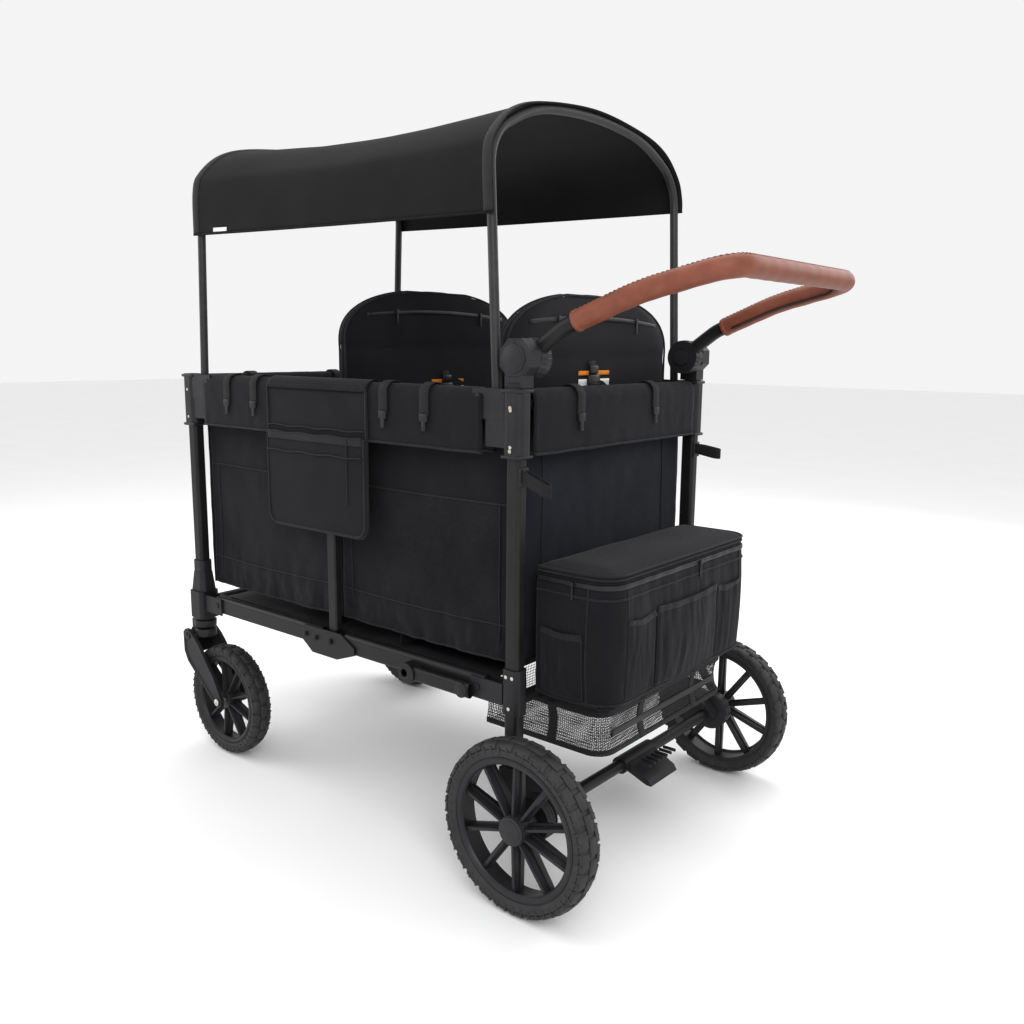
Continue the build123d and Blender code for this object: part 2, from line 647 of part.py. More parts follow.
cloth_t = 2.0
cloth_gap = 0.4
cloth_overhang = 14.0
near_edge = 290.0            # cloth's lower edge above the rail, on the pocket side
far_edge = 352.0
with BuildPart() as canopy_cloth:
    for end_x, inward, rise, name in hoops:
        extra = rise - hoop_crown_rise
        plane = pole_plane(end_x, inward).offset(-inward * cloth_overhang)
        inner = arch_points(rise, pole_r + cloth_gap, near_edge + extra, far_edge + extra)
        outer = arch_points(rise, pole_r + cloth_gap + cloth_t, near_edge + extra, far_edge + extra)
        with BuildSketch(plane):
            with BuildLine():
                FilletPolyline(*inner, radius=arch_radii)
                FilletPolyline(*outer, radius=arch_radii)
                Line(inner[0], outer[0])
                Line(inner[-1], outer[-1])
            make_face()
    loft(ruled=True)
save(canopy_cloth, "canopy_cloth")

# ---- fabric tub ----
fabric_t = 3.0
panel_in = 17.0              # fabric panels lie this far inboard of the rails' centre lines
soft_gap = 0.3
panel_low = low_rail_z + 42
panel_high = top_rail_z - 14
roll_half = panel_in - soft_gap
roll_drop = 91.0
roll_up = 13.0
with BuildPart() as side_panels:
    end_gap = panel_in + fabric_t + soft_gap
    block(front_x + end_gap, rear_x - end_gap, side_y - panel_in - fabric_t, side_y - panel_in, panel_low, panel_high)
    pin_y(mid_x, seat_bar_z, side_y - 2 * panel_in, side_y, seat_bar_r + soft_gap, mode=Mode.SUBTRACT)
    both_sides()
save(side_panels, "side_panels")


def end_panel(end_x, inward):
    """Fabric end wall with its roll over the end rail."""
    wall_x = sorted((end_x + inward * panel_in, end_x + inward * (panel_in + fabric_t)))
    block(wall_x[0], wall_x[1], -side_y + panel_in, side_y - panel_in, panel_low, panel_high)
    half = side_y - post_y / 2 - collar_wall - 4
    rail = top_rail_z - 10
    tube_half = cross_r + soft_gap
    block(end_x - panel_in, end_x + panel_in, -half, half, top_rail_z - roll_drop, top_rail_z + roll_up)
    block(end_x - tube_half, end_x + tube_half, -half - 1, half + 1, top_rail_z - roll_drop - 1, rail + tube_half,
          mode=Mode.SUBTRACT)


with BuildPart() as rear_panel:
    end_panel(rear_x, -1)
save(rear_panel, "rear_panel")

with BuildPart() as front_panel:
    end_panel(front_x, 1)
save(front_panel, "front_panel")

with BuildPart() as side_rolls:
    for x_low, x_high in ((front_pivot_x + 16, mid_x - 70), (mid_x + 40, rear_pivot_x - 18)):
        block(x_low, x_high, side_y - roll_half, side_y + roll_half, top_rail_z - roll_drop, top_rail_z + roll_up + 2)
        block(x_low - 1, x_high + 1, side_y - rail_t / 2 - 0.5, side_y + rail_t / 2 + 0.5,
              top_rail_z - roll_drop - 1, top_rail_z + rail_h / 2 + 0.5, mode=Mode.SUBTRACT)
        block(x_low - 1, x_high + 1, side_y - cheek_high - 4, side_y + rail_t / 2 + 0.5,
              top_rail_z - roll_drop - 1, top_rail_z - rail_h, mode=Mode.SUBTRACT)
    both_sides()
save(side_rolls, "side_rolls")

# ---- seats ----
seat_half_y = side_y - panel_in - fabric_t - 6
seat_back_t = 36.0
front_back_top = top_rail_z + 188
rear_back_top = top_rail_z + 172
seat_top_z = seat_bar_z - 25
cushion_t = 45.0
seat_depth = 230.0
skirt_t = 4.0
back_corner = 90.0


def seat_back(x_middle, z_low, z_top):
    """Upholstered back with rounded upper corners."""
    with BuildSketch(Plane.YZ.offset(x_middle - seat_back_t / 2)) as section:
        with Locations((0, (z_low + z_top) / 2)):
            Rectangle(2 * seat_half_y, z_top - z_low)
        fillet(vertices().group_by(Axis.Y)[-1], back_corner)
    extrude(section.sketch, amount=seat_back_t)


def seat_base(x_low, x_high):
    """Padded seat with its skirts down to the floor boards."""
    skirt_low = floor_z + floor_t + soft_gap
    block(x_low, x_high, -seat_half_y, seat_half_y, skirt_low, seat_top_z)
    block(x_low + skirt_t, x_high + 1, -seat_half_y + skirt_t, seat_half_y - skirt_t, skirt_low - 1,
          seat_top_z - cushion_t, mode=Mode.SUBTRACT)


with BuildPart() as front_seat_back:
    seat_back(mid_x, seat_bar_z - 12, front_back_top)
    pin_y(mid_x, seat_bar_z, -side_y, side_y, seat_bar_r + soft_gap, mode=Mode.SUBTRACT)
save(front_seat_back, "front_seat_back")

hub_clear = 5.0
rear_back_x = rear_x - hub_r - hub_clear - seat_back_t / 2
bolster_high = 80.0
with BuildPart() as rear_seat_back:
    seat_back(rear_back_x, seat_bar_z, rear_back_top)
    block(rear_back_x, rear_x - panel_in - fabric_t - soft_gap, -seat_half_y + 30, seat_half_y - 30,
          seat_bar_z, seat_bar_z + bolster_high)
save(rear_seat_back, "rear_seat_back")

front_seat_x = mid_x - seat_back_t / 2 - 7
rear_seat_x = rear_x - panel_in - fabric_t - soft_gap
with BuildPart() as front_seat_base:
    seat_base(front_seat_x - seat_depth, front_seat_x)
save(front_seat_base, "front_seat_base")

with BuildPart() as rear_seat_base:
    seat_base(rear_back_x - seat_back_t / 2 - seat_depth, rear_seat_x)
save(rear_seat_base, "rear_seat_base")

# ---- pocket organizer hung over the near rail ----
pocket_low_x = mid_x - 165
pocket_high_x = mid_x + 125
pocket_low_z = top_rail_z - 275
pocket_mouth_z = top_rail_z - 88
pocket_t = 13.0
pocket_wall = 2.0
pocket_y = -side_y - roll_half - soft_gap
flap_z = top_rail_z + roll_up + 2 + soft_gap
with BuildPart() as pocket_organizer:
    block(pocket_low_x, pocket_high_x, pocket_y - pocket_wall, pocket_y, pocket_low_z, flap_z + pocket_wall)
    block(pocket_low_x, pocket_high_x, pocket_y - pocket_t, pocket_y, pocket_low_z, pocket_mouth_z)
    block(pocket_low_x + pocket_wall, pocket_high_x - pocket_wall, pocket_y - pocket_t + pocket_wall,
          pocket_y - pocket_wall, pocket_low_z + pocket_wall, pocket_mouth_z + 1, mode=Mode.SUBTRACT)
    block(pocket_low_x, pocket_high_x, pocket_y, -side_y + roll_half, flap_z, flap_z + pocket_wall)
save(pocket_organizer, "pocket_organizer")

# ---- rear storage bag, its lid and the mesh basket below ----
bag_front_x = rear_x + cross_r + soft_gap
bag_depth = 150.0
bag_half_y = side_y - 40.5      # inside the rear posts' collars
bag_low_z = low_rail_z - 9
bag_high_z = low_rail_z + 204
bag_corner = 45.0
bag_wall = 4.0
lid_t = 18.0


def bag_outline(inset):
    """Plan of the bag: flat against the posts, with rounded rear corners."""
    with BuildLine() as outline:
        x_low = bag_front_x + inset
        x_high = bag_front_x + bag_depth - inset
        half = bag_half_y - inset
        radius = bag_corner - inset
        Polyline((x_high - radius, -half), (x_low, -half), (x_low, half), (x_high - radius, half))
        RadiusArc((x_high - radius, half), (x_high, half - radius), radius)
        Line((x_high, half - radius), (x_high, -half + radius))
        RadiusArc((x_high, -half + radius), (x_high - radius, -half), radius)
    make_face(outline.edges())


with BuildPart() as storage_bag:
    with BuildSketch(Plane.XY.offset(bag_low_z)):
        bag_outline(0)
    extrude(amount=bag_high_z - bag_low_z)
    with BuildSketch(Plane.XY.offset(bag_low_z + bag_wall)):
        bag_outline(bag_wall)
    extrude(amount=bag_high_z - bag_low_z, mode=Mode.SUBTRACT)
save(storage_bag, "storage_bag")

with BuildPart() as bag_lid:
    with BuildSketch(Plane.XY.offset(bag_high_z + soft_gap)):
        bag_outline(0)
    extrude(amount=lid_t)
save(bag_lid, "bag_lid")

basket_high_z = low_cross_z - cross_r - soft_gap
basket_low_z = basket_high_z - 78
basket_half_y = 215.0
basket_wall = 3.0
with BuildPart() as mesh_basket:
    block(rear_x - 120, rear_x + 135, -basket_half_y, basket_half_y, basket_low_z, basket_high_z)
    fillet(mesh_basket.edges().filter_by(Axis.Z), 30)
    block(rear_x - 120 + basket_wall, rear_x + 135 - basket_wall, -basket_half_y + basket_wall,
          basket_half_y - basket_wall, basket_low_z + basket_wall, basket_high_z + 1, mode=Mode.SUBTRACT)
save(mesh_basket, "mesh_basket")

# ---- wrist straps and rivets ----
strap_z = top_rail_z - 126
strap_long = 56.0
strap_high = 22.0
strap_t = 2.0
with BuildPart() as wrist_straps:
    strap_x = rear_x + post_x / 2 + soft_gap + strap_long / 2
    with BuildSketch(Plane.XZ.offset(-(side_y - 10))):
        with Locations((strap_x, strap_z)):
            RectangleRounded(strap_long, strap_high, 9)
            RectangleRounded(strap_long - 2 * strap_t, strap_high - 2 * strap_t, 9 - strap_t, mode=Mode.SUBTRACT)
    extrude(amount=-20)
    both_sides()
save(wrist_straps, "wrist_straps")

rivet_r = 3.2
rivet_proud = 1.5
with BuildPart() as rear_rivets:
    sleeve_face = side_y + post_y / 2 + 3
    collar_face = side_y + post_y / 2 + collar_wall
    for rivet_x in (rear_x - 6, rear_x + 7):
        pin_y(rivet_x, low_sleeve_high - 12, sleeve_face, sleeve_face + rivet_proud, rivet_r)
    pin_y(rear_x, low_sleeve_low + 12, sleeve_face, sleeve_face + rivet_proud, rivet_r)
    for rivet_z in (collar_low_z + 12, collar_high_z - 30):
        pin_y(rear_x, rivet_z, collar_face, collar_face + rivet_proud, rivet_r)
    both_sides()
save(rear_rivets, "rear_rivets")
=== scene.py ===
import bpy
import bmesh
import json
import math
import random
from mathutils import Vector, Matrix, noise


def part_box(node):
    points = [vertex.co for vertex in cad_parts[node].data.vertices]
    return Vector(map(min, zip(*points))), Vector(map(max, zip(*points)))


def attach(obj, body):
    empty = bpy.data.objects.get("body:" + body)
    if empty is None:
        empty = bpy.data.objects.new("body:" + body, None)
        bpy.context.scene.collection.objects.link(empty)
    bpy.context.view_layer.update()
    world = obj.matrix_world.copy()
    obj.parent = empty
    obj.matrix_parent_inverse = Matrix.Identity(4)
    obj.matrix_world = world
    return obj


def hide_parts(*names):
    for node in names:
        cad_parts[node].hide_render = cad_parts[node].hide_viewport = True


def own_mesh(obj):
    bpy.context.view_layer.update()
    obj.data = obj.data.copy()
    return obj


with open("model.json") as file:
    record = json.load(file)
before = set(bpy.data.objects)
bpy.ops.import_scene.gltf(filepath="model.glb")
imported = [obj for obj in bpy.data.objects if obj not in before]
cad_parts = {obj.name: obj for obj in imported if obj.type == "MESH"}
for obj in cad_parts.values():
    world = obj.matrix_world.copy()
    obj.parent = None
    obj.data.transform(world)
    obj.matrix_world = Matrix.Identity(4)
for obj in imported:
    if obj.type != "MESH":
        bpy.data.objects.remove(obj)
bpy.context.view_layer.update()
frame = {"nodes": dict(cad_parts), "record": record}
print("wagon: frame loaded")

scene = bpy.context.scene
random.seed(4)


# node helpers
def newMaterial(name, colour, roughness, specular=0.5, metallic=0.0):
    # A principled material, its tree and its shader.
    mat = bpy.data.materials.new(name)
    mat.use_nodes = True
    tree = mat.node_tree
    shader = tree.nodes["Principled BSDF"]
    shader.inputs["Base Color"].default_value = (*colour, 1)
    shader.inputs["Roughness"].default_value = roughness
    shader.inputs["Specular IOR Level"].default_value = specular
    shader.inputs["Metallic"].default_value = metallic
    return mat, tree, shader


def objectCoords(tree, scale=(1, 1, 1), turn=(0, 0, 0)):
    coords = tree.nodes.new("ShaderNodeTexCoord")
    mapping = tree.nodes.new("ShaderNodeMapping")
    mapping.inputs["Scale"].default_value = scale
    mapping.inputs["Rotation"].default_value = turn
    tree.links.new(coords.outputs["Object"], mapping.inputs["Vector"])
    return mapping.outputs["Vector"]


def noiseField(tree, vector, scale, detail=3.0, rough=0.55):
    field = tree.nodes.new("ShaderNodeTexNoise")
    field.inputs["Scale"].default_value = scale
    field.inputs["Detail"].default_value = detail
    field.inputs["Roughness"].default_value = rough
    tree.links.new(vector, field.inputs["Vector"])
    return field.outputs["Fac"]


def ramp(tree, value, low, high, lowColour, highColour):
    node = tree.nodes.new("ShaderNodeValToRGB")
    node.color_ramp.elements[0].position = low
    node.color_ramp.elements[0].color = (*lowColour, 1)
    node.color_ramp.elements[1].position = high
    node.color_ramp.elements[1].color = (*highColour, 1)
    tree.links.new(value, node.inputs["Fac"])
    return node.outputs["Color"]


def remap(tree, value, low, high):
    node = tree.nodes.new("ShaderNodeMapRange")
    node.inputs["To Min"].default_value = low
    node.inputs["To Max"].default_value = high
    tree.links.new(value, node.inputs["Value"])
    return node.outputs["Result"]


def combine(tree, first, second, operation="ADD"):
    node = tree.nodes.new("ShaderNodeMath")
    node.operation = operation
    tree.links.new(first, node.inputs[0])
    if isinstance(second, (int, float)):
        node.inputs[1].default_value = second
    else:
        tree.links.new(second, node.inputs[1])
    return node.outputs[0]


def colourBy(tree, shader, value, low, high, dark, light):
    tree.links.new(ramp(tree, value, low, high, dark, light), shader.inputs["Base Color"])


def roughBy(tree, shader, value, low, high):
    tree.links.new(remap(tree, value, low, high), shader.inputs["Roughness"])


def addBump(tree, shader, height, strength, distance):
    bump = tree.nodes.new("ShaderNodeBump")
    bump.inputs["Strength"].default_value = strength
    bump.inputs["Distance"].default_value = distance
    tree.links.new(height, bump.inputs["Height"])
    tree.links.new(bump.outputs["Normal"], shader.inputs["Normal"])


def threads(tree, vector, direction, scale):
    wave = tree.nodes.new("ShaderNodeTexWave")
    wave.bands_direction = direction
    wave.inputs["Scale"].default_value = scale
    wave.inputs["Distortion"].default_value = 0.0
    tree.links.new(vector, wave.inputs["Vector"])
    return wave.outputs["Fac"]


# materials
def wovenFabric(name, dark, light, pitch, roughness=0.82, sheen=0.05, depth=0.0004):
    # Plain weave: two thread directions, a slub of colour and a slow fade.
    mat, tree, shader = newMaterial(name, dark, roughness, 0.12)
    turned = objectCoords(tree, turn=(0.6, 0.5, 0.78))
    plain = objectCoords(tree)
    warp = threads(tree, turned, "X", pitch)
    weft = threads(tree, turned, "Z", pitch)
    weave = combine(tree, warp, weft, "MULTIPLY")
    slub = noiseField(tree, plain, 260, 2)
    fade = noiseField(tree, plain, 7, 4)
    mixed = combine(tree, combine(tree, slub, 0.45, "MULTIPLY"), combine(tree, fade, 0.55, "MULTIPLY"))
    colourBy(tree, shader, mixed, 0.3, 0.72, dark, light)
    roughBy(tree, shader, slub, roughness - 0.1, roughness + 0.08)
    shader.inputs["Sheen Weight"].default_value = sheen
    shader.inputs["Sheen Roughness"].default_value = 0.5
    addBump(tree, shader, combine(tree, weave, combine(tree, slub, 0.4, "MULTIPLY")), 0.55, depth)
    return mat


def powderCoat(name, dark, light, roughness):
    # Painted tube: fine orange peel, faint rubbed variation.
    mat, tree, shader = newMaterial(name, dark, roughness, 0.35)
    coords = objectCoords(tree)
    peel = noiseField(tree, coords, 900, 2)
    wear = noiseField(tree, coords, 14, 5, 0.65)
    colourBy(tree, shader, wear, 0.35, 0.75, dark, light)
    roughBy(tree, shader, wear, roughness - 0.06, roughness + 0.1)
    addBump(tree, shader, peel, 0.18, 0.0004)
    return mat


def mouldedPlastic(name, dark, light, roughness, grain=700, relief=0.3):
    # Spark-textured moulding with slight tone changes.
    mat, tree, shader = newMaterial(name, dark, roughness, 0.35)
    coords = objectCoords(tree)
    spark = noiseField(tree, coords, grain, 2)
    tone = noiseField(tree, coords, 18, 4)
    colourBy(tree, shader, tone, 0.3, 0.75, dark, light)
    roughBy(tree, shader, spark, roughness - 0.08, roughness + 0.08)
    addBump(tree, shader, spark, relief, 0.0005)
    return mat


def tyreRubber():
    mat, tree, shader = newMaterial("tyre rubber", (0.028, 0.028, 0.03), 0.62, 0.4)
    coords = objectCoords(tree)
    grain = noiseField(tree, coords, 420, 4)
    dust = noiseField(tree, coords, 26, 5, 0.7)
    colourBy(tree, shader, dust, 0.35, 0.8, (0.026, 0.026, 0.028), (0.05, 0.05, 0.052))
    roughBy(tree, shader, dust, 0.5, 0.72)
    addBump(tree, shader, grain, 0.3, 0.0004)
    return mat


def grainLeather():
    # Tan leather: cell grain, darker creases, mottled dye.
    mat, tree, shader = newMaterial("tan leather", (0.22, 0.075, 0.045), 0.46, 0.35)
    coords = objectCoords(tree)
    cells = tree.nodes.new("ShaderNodeTexVoronoi")
    cells.feature = "DISTANCE_TO_EDGE"
    cells.inputs["Scale"].default_value = 620
    tree.links.new(coords, cells.inputs["Vector"])
    creases = remap(tree, cells.outputs["Distance"], 0.0, 1.6)
    mottle = noiseField(tree, coords, 34, 5, 0.6)
    colourBy(tree, shader, mottle, 0.3, 0.75, (0.185, 0.062, 0.037), (0.255, 0.088, 0.054))
    roughBy(tree, shader, mottle, 0.4, 0.56)
    wrinkle = noiseField(tree, coords, 70, 4, 0.7)
    addBump(tree, shader, combine(tree, creases, wrinkle), 0.3, 0.0004)
    return mat


def platedSteel():
    mat, tree, shader = newMaterial("plated steel", (0.62, 0.56, 0.5), 0.3, 0.5, 1.0)
    coords = objectCoords(tree)
    smear = noiseField(tree, coords, 240, 3)
    roughBy(tree, shader, smear, 0.2, 0.42)
    return mat


def ribbedWebbing(name, dark, light):
    # Strap webbing: close ribs across the strap.
    mat, tree, shader = newMaterial(name, dark, 0.75, 0.35)
    coords = objectCoords(tree, turn=(0.4, 0.3, 0.78))
    ribs = threads(tree, coords, "X", 420)
    fuzz = noiseField(tree, coords, 300, 2)
    colourBy(tree, shader, fuzz, 0.3, 0.75, dark, light)
    shader.inputs["Sheen Weight"].default_value = 0.05
    addBump(tree, shader, ribs, 0.5, 0.0005)
    return mat


mats = {
    "body": wovenFabric("body weave", (0.0075, 0.0075, 0.010), (0.0165, 0.0165, 0.0205), 330, sheen=0.09),
    "panelMesh": wovenFabric("side mesh", (0.0045, 0.0045, 0.006), (0.024, 0.024, 0.028),
                             150, 0.8, 0.06, 0.0016),
    "rearPanel": wovenFabric("rear panel weave", (0.010, 0.0108, 0.0155), (0.021, 0.0225, 0.031),
                             330, sheen=0.09),
    "canopy": wovenFabric("canopy weave", (0.012, 0.012, 0.012), (0.021, 0.021, 0.021),
                          420, 0.86, 0.04, 0.0002),
    "binding": wovenFabric("grey binding", (0.028, 0.0275, 0.029), (0.046, 0.045, 0.048), 380, 0.8, 0.08),
    "piping": wovenFabric("piping", (0.013, 0.013, 0.0155), (0.028, 0.028, 0.032), 500, 0.72, 0.10),
    "netting": wovenFabric("basket net", (0.035, 0.035, 0.038), (0.08, 0.08, 0.085), 500, 0.7, 0.1),
    "label": wovenFabric("plain label", (0.75, 0.75, 0.73), (0.86, 0.86, 0.84), 500, 0.7, 0.1),
    "orange": wovenFabric("orange band", (0.8, 0.26, 0.02), (0.9, 0.34, 0.04), 500, 0.65, 0.1),
    "webbing": ribbedWebbing("black webbing", (0.007, 0.007, 0.008), (0.017, 0.017, 0.019)),
    "paint": powderCoat("powder coat", (0.010, 0.010, 0.0105), (0.018, 0.018, 0.019), 0.42),
    "pole": powderCoat("pole coat", (0.03, 0.03, 0.032), (0.05, 0.05, 0.052), 0.4),
    "plastic": mouldedPlastic("spark plastic", (0.014, 0.014, 0.016), (0.026, 0.026, 0.029), 0.48),
    "wheel": mouldedPlastic("wheel nylon", (0.018, 0.018, 0.020), (0.034, 0.034, 0.037), 0.42, 500, 0.2),
    "gloss": mouldedPlastic("button plastic", (0.02, 0.02, 0.022), (0.036, 0.036, 0.038), 0.3, 300, 0.1),
    "zip": mouldedPlastic("zip tape", (0.01, 0.01, 0.011), (0.028, 0.028, 0.03), 0.4, 1200, 0.6),
    "rubber": tyreRubber(),
    "leather": grainLeather(),
    "thread": wovenFabric("leather thread", (0.14, 0.045, 0.028), (0.24, 0.085, 0.05), 900, 0.7, 0.2),
    "steel": platedSteel(),
}
print("wagon: materials made")


acrossWagon = (0, 1, 0)
straightUp = (0, 0, 1)


# piece helpers
def edgesOf(verts):
    return list({e for v in verts for e in v.link_edges})


def roundEdges(bm, edges, width, segments=2):
    return bmesh.ops.bevel(bm, geom=edges, offset=width, segments=segments, profile=0.5,
                           affect="EDGES", material=-1)


def spinProfile(bm, profile):
    # Turns a closed profile of (radius, y) once round the wheel's axis.
    loop = [bm.verts.new((r, y, 0)) for r, y in profile]
    edges = [bm.edges.new((loop[i], loop[(i + 1) % len(loop)])) for i in range(len(loop))]
    bmesh.ops.spin(bm, geom=loop + edges, cent=(0, 0, 0), axis=acrossWagon, angle=2 * math.pi,
                   steps=96, use_merge=True, use_duplicate=False)


def turnVerts(bm, verts, angle):
    bmesh.ops.transform(bm, matrix=Matrix.Rotation(angle, 4, "Y"), verts=verts)


def finishPiece(name, bm, material, body, stands=(), smooth=True, extra=(), outward=True):
    # Turns a bmesh into a piece that rides on a body.
    if outward:
        bmesh.ops.recalc_face_normals(bm, faces=bm.faces)
    mesh = bpy.data.meshes.new(name)
    bm.to_mesh(mesh)
    bm.free()
    piece = bpy.data.objects.new(name, mesh)
    scene.collection.objects.link(piece)
    for each in (material, *extra):
        mesh.materials.append(mats[each])
    for face in mesh.polygons:
        face.use_smooth = smooth
    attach(piece, body)
    if stands:
        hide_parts(*stands)
    return piece


def bevelPiece(piece, width, segments=2, angle=0.6):
    mod = piece.modifiers.new("edges", "BEVEL")
    mod.width = width
    mod.segments = segments
    mod.limit_method = "ANGLE"
    mod.angle_limit = angle
    mod.harden_normals = False
    return piece


def subdivide(piece, levels):
    mod = piece.modifiers.new("subdivision", "SUBSURF")
    mod.levels = levels
    mod.render_levels = levels
    return piece


def thicken(piece, thickness, offset=0.0):
    mod = piece.modifiers.new("cloth thickness", "SOLIDIFY")
    mod.thickness = thickness
    mod.offset = offset
    return piece


def applyAll(piece):
    # Bakes the modifiers into the mesh.
    bpy.context.view_layer.update()
    evaluated = piece.evaluated_get(bpy.context.evaluated_depsgraph_get())
    done = bpy.data.meshes.new_from_object(evaluated)
    piece.modifiers.clear()
    piece.data = done
    return piece


def addBox(bm, low, high, bevel=0.0, segments=2):
    # A box between two corners, with rounded edges.
    low, high = Vector(low), Vector(high)
    centre = (low + high) / 2
    size = high - low
    made = bmesh.ops.create_cube(bm, size=1)
    bmesh.ops.scale(bm, vec=size, verts=made["verts"])
    bmesh.ops.translate(bm, vec=centre, verts=made["verts"])
    if bevel:
        cut = roundEdges(bm, edgesOf(made["verts"]), min(bevel, min(size) * 0.45), segments)
        return list({v for v in made["verts"] if v.is_valid} | set(cut["verts"]))
    return made["verts"]


def boxAt(bm, at, below, above, bevel, segments=2):
    return addBox(bm, at - Vector(below), at + Vector(above), bevel, segments)


def addDisc(bm, centre, axis, radius, length, sides=32, bevel=0.0, radius2=None):
    # A capped cylinder or cone, centred on a point, along an axis.
    made = bmesh.ops.create_cone(bm, cap_ends=True, segments=sides, radius1=radius,
                                 radius2=radius if radius2 is None else radius2, depth=length)
    verts = made["verts"]
    if bevel:
        rims = [e for e in edgesOf(verts) if len(e.link_faces) == 2 and e.calc_face_angle(0) > 0.9]
        cut = roundEdges(bm, rims, bevel)
        verts = list({v for v in verts if v.is_valid} | set(cut["verts"]))
    turn = Vector((0, 0, 1)).rotation_difference(Vector(axis)).to_matrix().to_4x4()
    bmesh.ops.transform(bm, matrix=Matrix.Translation(centre) @ turn, verts=verts)
    return verts


def smoothCurve(points, steps):
    # Catmull-Rom points through a short list.
    pts = [Vector(p) for p in points]
    pts = [pts[0] * 2 - pts[1], *pts, pts[-1] * 2 - pts[-2]]
    line = []
    for i in range(1, len(pts) - 2):
        for s in range(steps):
            t = s / steps
            a, b, c, d = pts[i - 1:i + 3]
            line.append(0.5 * ((2 * b) + (c - a) * t + (2 * a - 5 * b + 4 * c - d) * t * t
                               + (3 * b - a - 3 * c + d) * t ** 3))
    line.append(pts[-2])
    return line


def addSection(bm, line, section, up=straightUp):
    # Sweeps a closed section (x across, y up) along a line of points, and caps its ends.
    rings = []
    for i, point in enumerate(line):
        along = (line[min(i + 1, len(line) - 1)] - line[max(i - 1, 0)]).normalized()
        side = along.cross(Vector(up))
        side = side.normalized() if side.length > 1e-6 else Vector((1, 0, 0))
        lift = side.cross(along).normalized()
        rings.append([bm.verts.new(point + side * x + lift * y) for x, y in section])
    loops = [[bm.edges.new((ring[k - 1], ring[k])) for k in range(len(ring))] for ring in rings]
    for first, second in zip(loops, loops[1:]):
        bmesh.ops.bridge_loops(bm, edges=first + second)
    for end in (loops[0], loops[-1]):
        bmesh.ops.edgenet_fill(bm, edges=end)


def roundSection(radius, sides=8):
    return [(radius * math.cos(2 * math.pi * k / sides), radius * math.sin(2 * math.pi * k / sides))
            for k in range(sides)]


def flatSection(width, thick):
    w, t = width / 2, thick / 2
    return [(-w, -t * 0.4), (-w + t, -t), (w - t, -t), (w, -t * 0.4),
            (w, t * 0.4), (w - t, t), (-w + t, t), (-w, t * 0.4)]


def uprightSection(width, thick):
    return [(y, x) for x, y in flatSection(width, thick)][::-1]


def cordPiece(name, lines, radius, material, body, sides=8, up=straightUp):
    bm = bmesh.new()
    for line in lines:
        addSection(bm, line, roundSection(radius, sides), up)
    return finishPiece(name, bm, material, body)


def strapPiece(name, lines, width, thick, material, body, up=straightUp):
    bm = bmesh.new()
    for line in lines:
        addSection(bm, line, flatSection(width, thick), up)
    return finishPiece(name, bm, material, body)


def gridSheet(bm, across, along, place):
    # A grid of quads; place(u, v) gives each point, u and v from 0 to 1.
    made = bmesh.ops.create_grid(bm, x_segments=across, y_segments=along, size=0.5)
    for v in made["verts"]:
        v.co = Vector(place(v.co.x + 0.5, v.co.y + 0.5))
    return made["verts"]


def sheetPiece(name, place, cells, material, body, thick, stands=()):
    # Cloth: a grid of cells laid by place(u, v), then given its thickness.
    bm = bmesh.new()
    gridSheet(bm, *cells, place)
    piece = finishPiece(name, bm, material, body, stands)
    thicken(piece, thick)
    return applyAll(piece)


def smoothStep(t):
    t = max(0.0, min(1.0, t))
    return t * t * (3 - 2 * t)


def ripple(x, z, scale, seed=0.0):
    return noise.noise(Vector((x * scale, seed, z * scale)))


# places read from the frame
postNearLow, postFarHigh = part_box("rear_posts")
rearX = (postNearLow.x + postFarHigh.x) / 2
sideY = postFarHigh.y - 0.012
frontLow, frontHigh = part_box("front_posts")
frontX = (frontLow.x + frontHigh.x) / 2
midX = (rearX + frontX) / 2
railLow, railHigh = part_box("top_rear_rails")
railZ = (railLow.z + railHigh.z) / 2
lowRailLow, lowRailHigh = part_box("low_rear_rails")
lowRailZ = (lowRailLow.z + lowRailHigh.z) / 2
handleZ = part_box("hub_shells")[1].z - 0.0314
print("wagon: places read")


def shorten(piece):
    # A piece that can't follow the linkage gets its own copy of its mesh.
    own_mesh(piece)


# wheels
rearWheel = {"lugs": 26, "spokes": 10, "rimLip": 0.010, "spokeDeep": 0.030, "spokeThin": 0.0042,
             "hub": 0.025}
frontWheel = {"lugs": 24, "spokes": 9, "rimLip": 0.009, "spokeDeep": 0.026, "spokeThin": 0.0036,
              "hub": 0.019}


